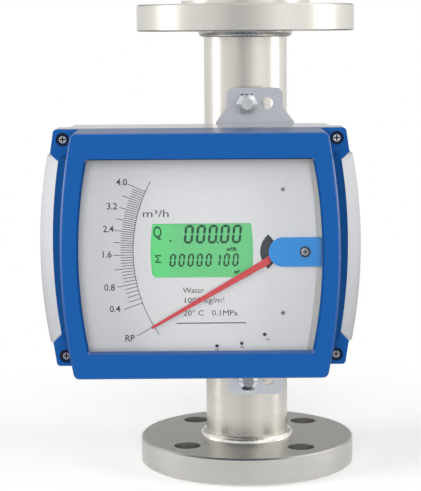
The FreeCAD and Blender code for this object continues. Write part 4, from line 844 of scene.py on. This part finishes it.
class FLOWMETER_OT_stage(bpy.types.Operator):
    """Sets the floor, the lights and the camera"""
    bl_idname = "flowmeter.stage"
    bl_label = "Set stage"

    def execute(self, context):
        settings = context.scene.flow_meter_stage
        context.scene.view_settings.view_transform = "Standard"
        self.floor()
        self.world(context, settings)
        for name, place, size, power in LAMPS:
            self.lamp(name, place, size, power)
        self.camera(context, settings)
        return {"FINISHED"}

    def floor(self):
        """White paper that keeps the object's shadow, and fades out so that no edge shows."""
        material, tree = start_material("floor_paper")
        seen = self.seen_directly(tree)
        tone = add_node(tree, "ShaderNodeMapRange", {"To Min": PAPER, "To Max": 1.0}, {"Value": seen})
        paper = add_node(tree, "ShaderNodeBsdfDiffuse", links={"Color": tone.outputs["Result"]})
        lift = add_node(tree, "ShaderNodeMath", {1: PAPER_GLOW}, {0: seen}, operation="MULTIPLY")
        white = add_node(tree, "ShaderNodeEmission", {"Color": (1, 1, 1, 1)}, {"Strength": lift.outputs[0]})
        lit = add_node(tree, "ShaderNodeAddShader",
                       links={0: paper.outputs["BSDF"], 1: white.outputs["Emission"]})
        place = add_node(tree, "ShaderNodeTexCoord")
        far = add_node(tree, "ShaderNodeVectorMath", links={0: place.outputs["Object"]}, operation="LENGTH")
        fade = add_node(tree, "ShaderNodeMapRange", {"From Min": FLOOR_FADE[0], "From Max": FLOOR_FADE[1]},
                        {"Value": far.outputs["Value"]}, interpolation_type="SMOOTHSTEP")
        nothing = add_node(tree, "ShaderNodeBsdfTransparent")
        mixed = add_node(tree, "ShaderNodeMixShader", links={"Fac": fade.outputs["Result"],
                                                             1: lit.outputs[0], 2: nothing.outputs["BSDF"]})
        add_node(tree, "ShaderNodeOutputMaterial", links={"Surface": mixed.outputs["Shader"]})
        bm = bmesh.new()
        bmesh.ops.create_grid(bm, x_segments=2, y_segments=2, size=FLOOR_FADE[1])
        floor = add_object("floor", bm, material)
        floor.location.z = CAD_BOX[0].z

    def seen_directly(self, tree):
        """1 for what the camera sees, also in metal or through glass, and 0 for the light itself."""
        view = add_node(tree, "ShaderNodeLightPath")
        either = view.outputs["Is Camera Ray"]
        for ray in ("Is Glossy Ray", "Is Transmission Ray"):
            step = add_node(tree, "ShaderNodeMath", links={0: either, 1: view.outputs[ray]},
                            operation="MAXIMUM")
            either = step.outputs[0]
        return either

    def tones(self, tree, axis, stops):
        """Brightness along one axis of the sky, from stops of (place between -1 and 1, brightness)."""
        spread = add_node(tree, "ShaderNodeMapRange", {"From Min": -1.0, "From Max": 1.0}, {"Value": axis})
        greys = [((place + 1) / 2, (tone, tone, tone, 1)) for place, tone in stops]
        ramp = add_node(tree, "ShaderNodeValToRGB", links={"Fac": spread.outputs["Result"]}, stops=greys)
        return ramp.outputs["Color"]

    def world(self, context, settings):
        """A white backdrop. Metal and lacquer mirror white panels with a grey gap between them."""
        world = bpy.data.worlds.new("studio")
        context.scene.world = world
        world.use_nodes = True
        tree = world.node_tree
        tree.nodes.clear()
        place = add_node(tree, "ShaderNodeTexCoord")
        axes = add_node(tree, "ShaderNodeSeparateXYZ", links={"Vector": place.outputs["Generated"]})
        # From left to right at the camera's side: strip light, panel, gap, panel, strip light.
        panel, gap, strip = settings.panel, settings.gap, settings.strip
        panels = self.tones(tree, axes.outputs["X"], [
            (-1.0, strip), (-0.98, panel * 1.15), (-0.5, panel * 1.1), (-0.2, gap), (0.25, panel),
            (0.6, panel * 1.55), (0.975, panel * 1.1), (1.0, strip),
        ])
        # The panels stand on a darker bench, so what looks down mirrors less.
        height = add_node(tree, "ShaderNodeMapRange", {"From Min": -0.3, "From Max": -0.03, "To Min": 0.2,
                                                       "To Max": 1.0}, {"Value": axes.outputs["Z"]})
        front = add_node(tree, "ShaderNodeMath", links={0: panels, 1: height.outputs["Result"]},
                         operation="MULTIPLY")
        # From low to high behind the object: bench, bright horizon, a dark band and a paler top.
        back = self.tones(tree, axes.outputs["Z"], [
            (-0.3, 0.35), (-0.2, 0.5), (-0.08, 0.85), (0.03, settings.back), (0.12, settings.back),
            (0.25, 0.3), (0.6, 0.6),
        ])
        behind = add_node(tree, "ShaderNodeMapRange", {"From Min": 0.35, "From Max": 0.85},
                          {"Value": axes.outputs["Y"]}, interpolation_type="SMOOTHSTEP")
        mirrored = add_node(tree, "ShaderNodeMix", data_type="FLOAT",
                            links={"Factor": behind.outputs["Result"], "A": front.outputs[0], "B": back})
        view = add_node(tree, "ShaderNodeLightPath")
        backdrop = add_node(tree, "ShaderNodeMix", {"A": 1.0},
                            {"Factor": view.outputs["Is Glossy Ray"], "B": mirrored.outputs["Result"]},
                            data_type="FLOAT")
        seen_as = add_node(tree, "ShaderNodeBackground", {"Strength": 1.0},
                           {"Color": backdrop.outputs["Result"]})
        light = add_node(tree, "ShaderNodeBackground", {"Strength": settings.fill, "Color": (1, 1, 1, 1)})
        mixed = add_node(tree, "ShaderNodeMixShader", links={"Fac": self.seen_directly(tree),
                                                             1: light.outputs[0], 2: seen_as.outputs[0]})
        add_node(tree, "ShaderNodeOutputWorld", links={"Surface": mixed.outputs["Shader"]})

    def lamp(self, name, place, size, power):
        """A soft round lamp that lights the colours; what metal mirrors are the world's panels."""
        light = bpy.data.lights.new(name, "AREA")
        light.shape = "DISK"
        light.size = size
        light.energy = power
        lamp = bpy.data.objects.new(name, light)
        lamp.location = place
        lamp.rotation_euler = (LAMP_TARGET - lamp.location).to_track_quat("-Z", "Y").to_euler()
        lamp.visible_glossy = False
        bpy.context.scene.collection.objects.link(lamp)

    def camera(self, context, settings):
        """The camera, leant about its own axis, then pitched, then turned about the upright."""
        data = bpy.data.cameras.new("camera")
        data.lens = settings.lens
        data.clip_start = 0.05
        camera = bpy.data.objects.new("camera", data)
        context.scene.collection.objects.link(camera)
        turn = (Matrix.Rotation(-settings.yaw, 4, "Z") @ Matrix.Rotation(math.pi / 2 - settings.pitch, 4, "X")
                @ Matrix.Rotation(settings.roll, 4, "Z"))
        camera.matrix_world = Matrix.Translation(Vector(settings.camera_place)) @ turn
        context.scene.camera = camera


class FLOWMETER_PT_sidebar(bpy.types.Panel):
    """Lists the steps that dress the flow meter"""
    bl_idname = "FLOWMETER_PT_sidebar"
    bl_label = "Flow meter"
    bl_space_type = "VIEW_3D"
    bl_region_type = "UI"
    bl_category = "Flow meter"

    def draw(self, context):
        for settings in SETTINGS:
            group = getattr(context.scene, settings)
            box = self.layout.box()
            for name in group.__annotations__:
                box.prop(group, name)
        for step in STEPS:
            self.layout.operator(step.bl_idname)


SETTINGS = {
    "flow_meter_welds": FlowMeterWelds, "flow_meter_paint": FlowMeterPaint, "flow_meter_dial": FlowMeterDial,
    "flow_meter_display": FlowMeterDisplay, "flow_meter_stage": FlowMeterStage,
}
STEPS = (
    FLOWMETER_OT_stage, FLOWMETER_OT_pipe, FLOWMETER_OT_welds, FLOWMETER_OT_mounting, FLOWMETER_OT_housing,
    FLOWMETER_OT_window, FLOWMETER_OT_dial, FLOWMETER_OT_display, FLOWMETER_OT_movement, FLOWMETER_OT_keys,
    FLOWMETER_OT_entries, FLOWMETER_OT_inside,
)


def register():
    for name, group in SETTINGS.items():
        bpy.utils.register_class(group)
        setattr(bpy.types.Scene, name, PointerProperty(type=group))
    for step in STEPS:
        bpy.utils.register_class(step)
    bpy.utils.register_class(FLOWMETER_PT_sidebar)


def unregister():
    bpy.utils.unregister_class(FLOWMETER_PT_sidebar)
    for step in reversed(STEPS):
        bpy.utils.unregister_class(step)
    for name, group in SETTINGS.items():
        delattr(bpy.types.Scene, name)
        bpy.utils.unregister_class(group)


def main():
    register()
    for step in STEPS:
        group, name = step.bl_idname.split(".")
        getattr(getattr(bpy.ops, group), name)()


if __name__ == "__main__":
    main()
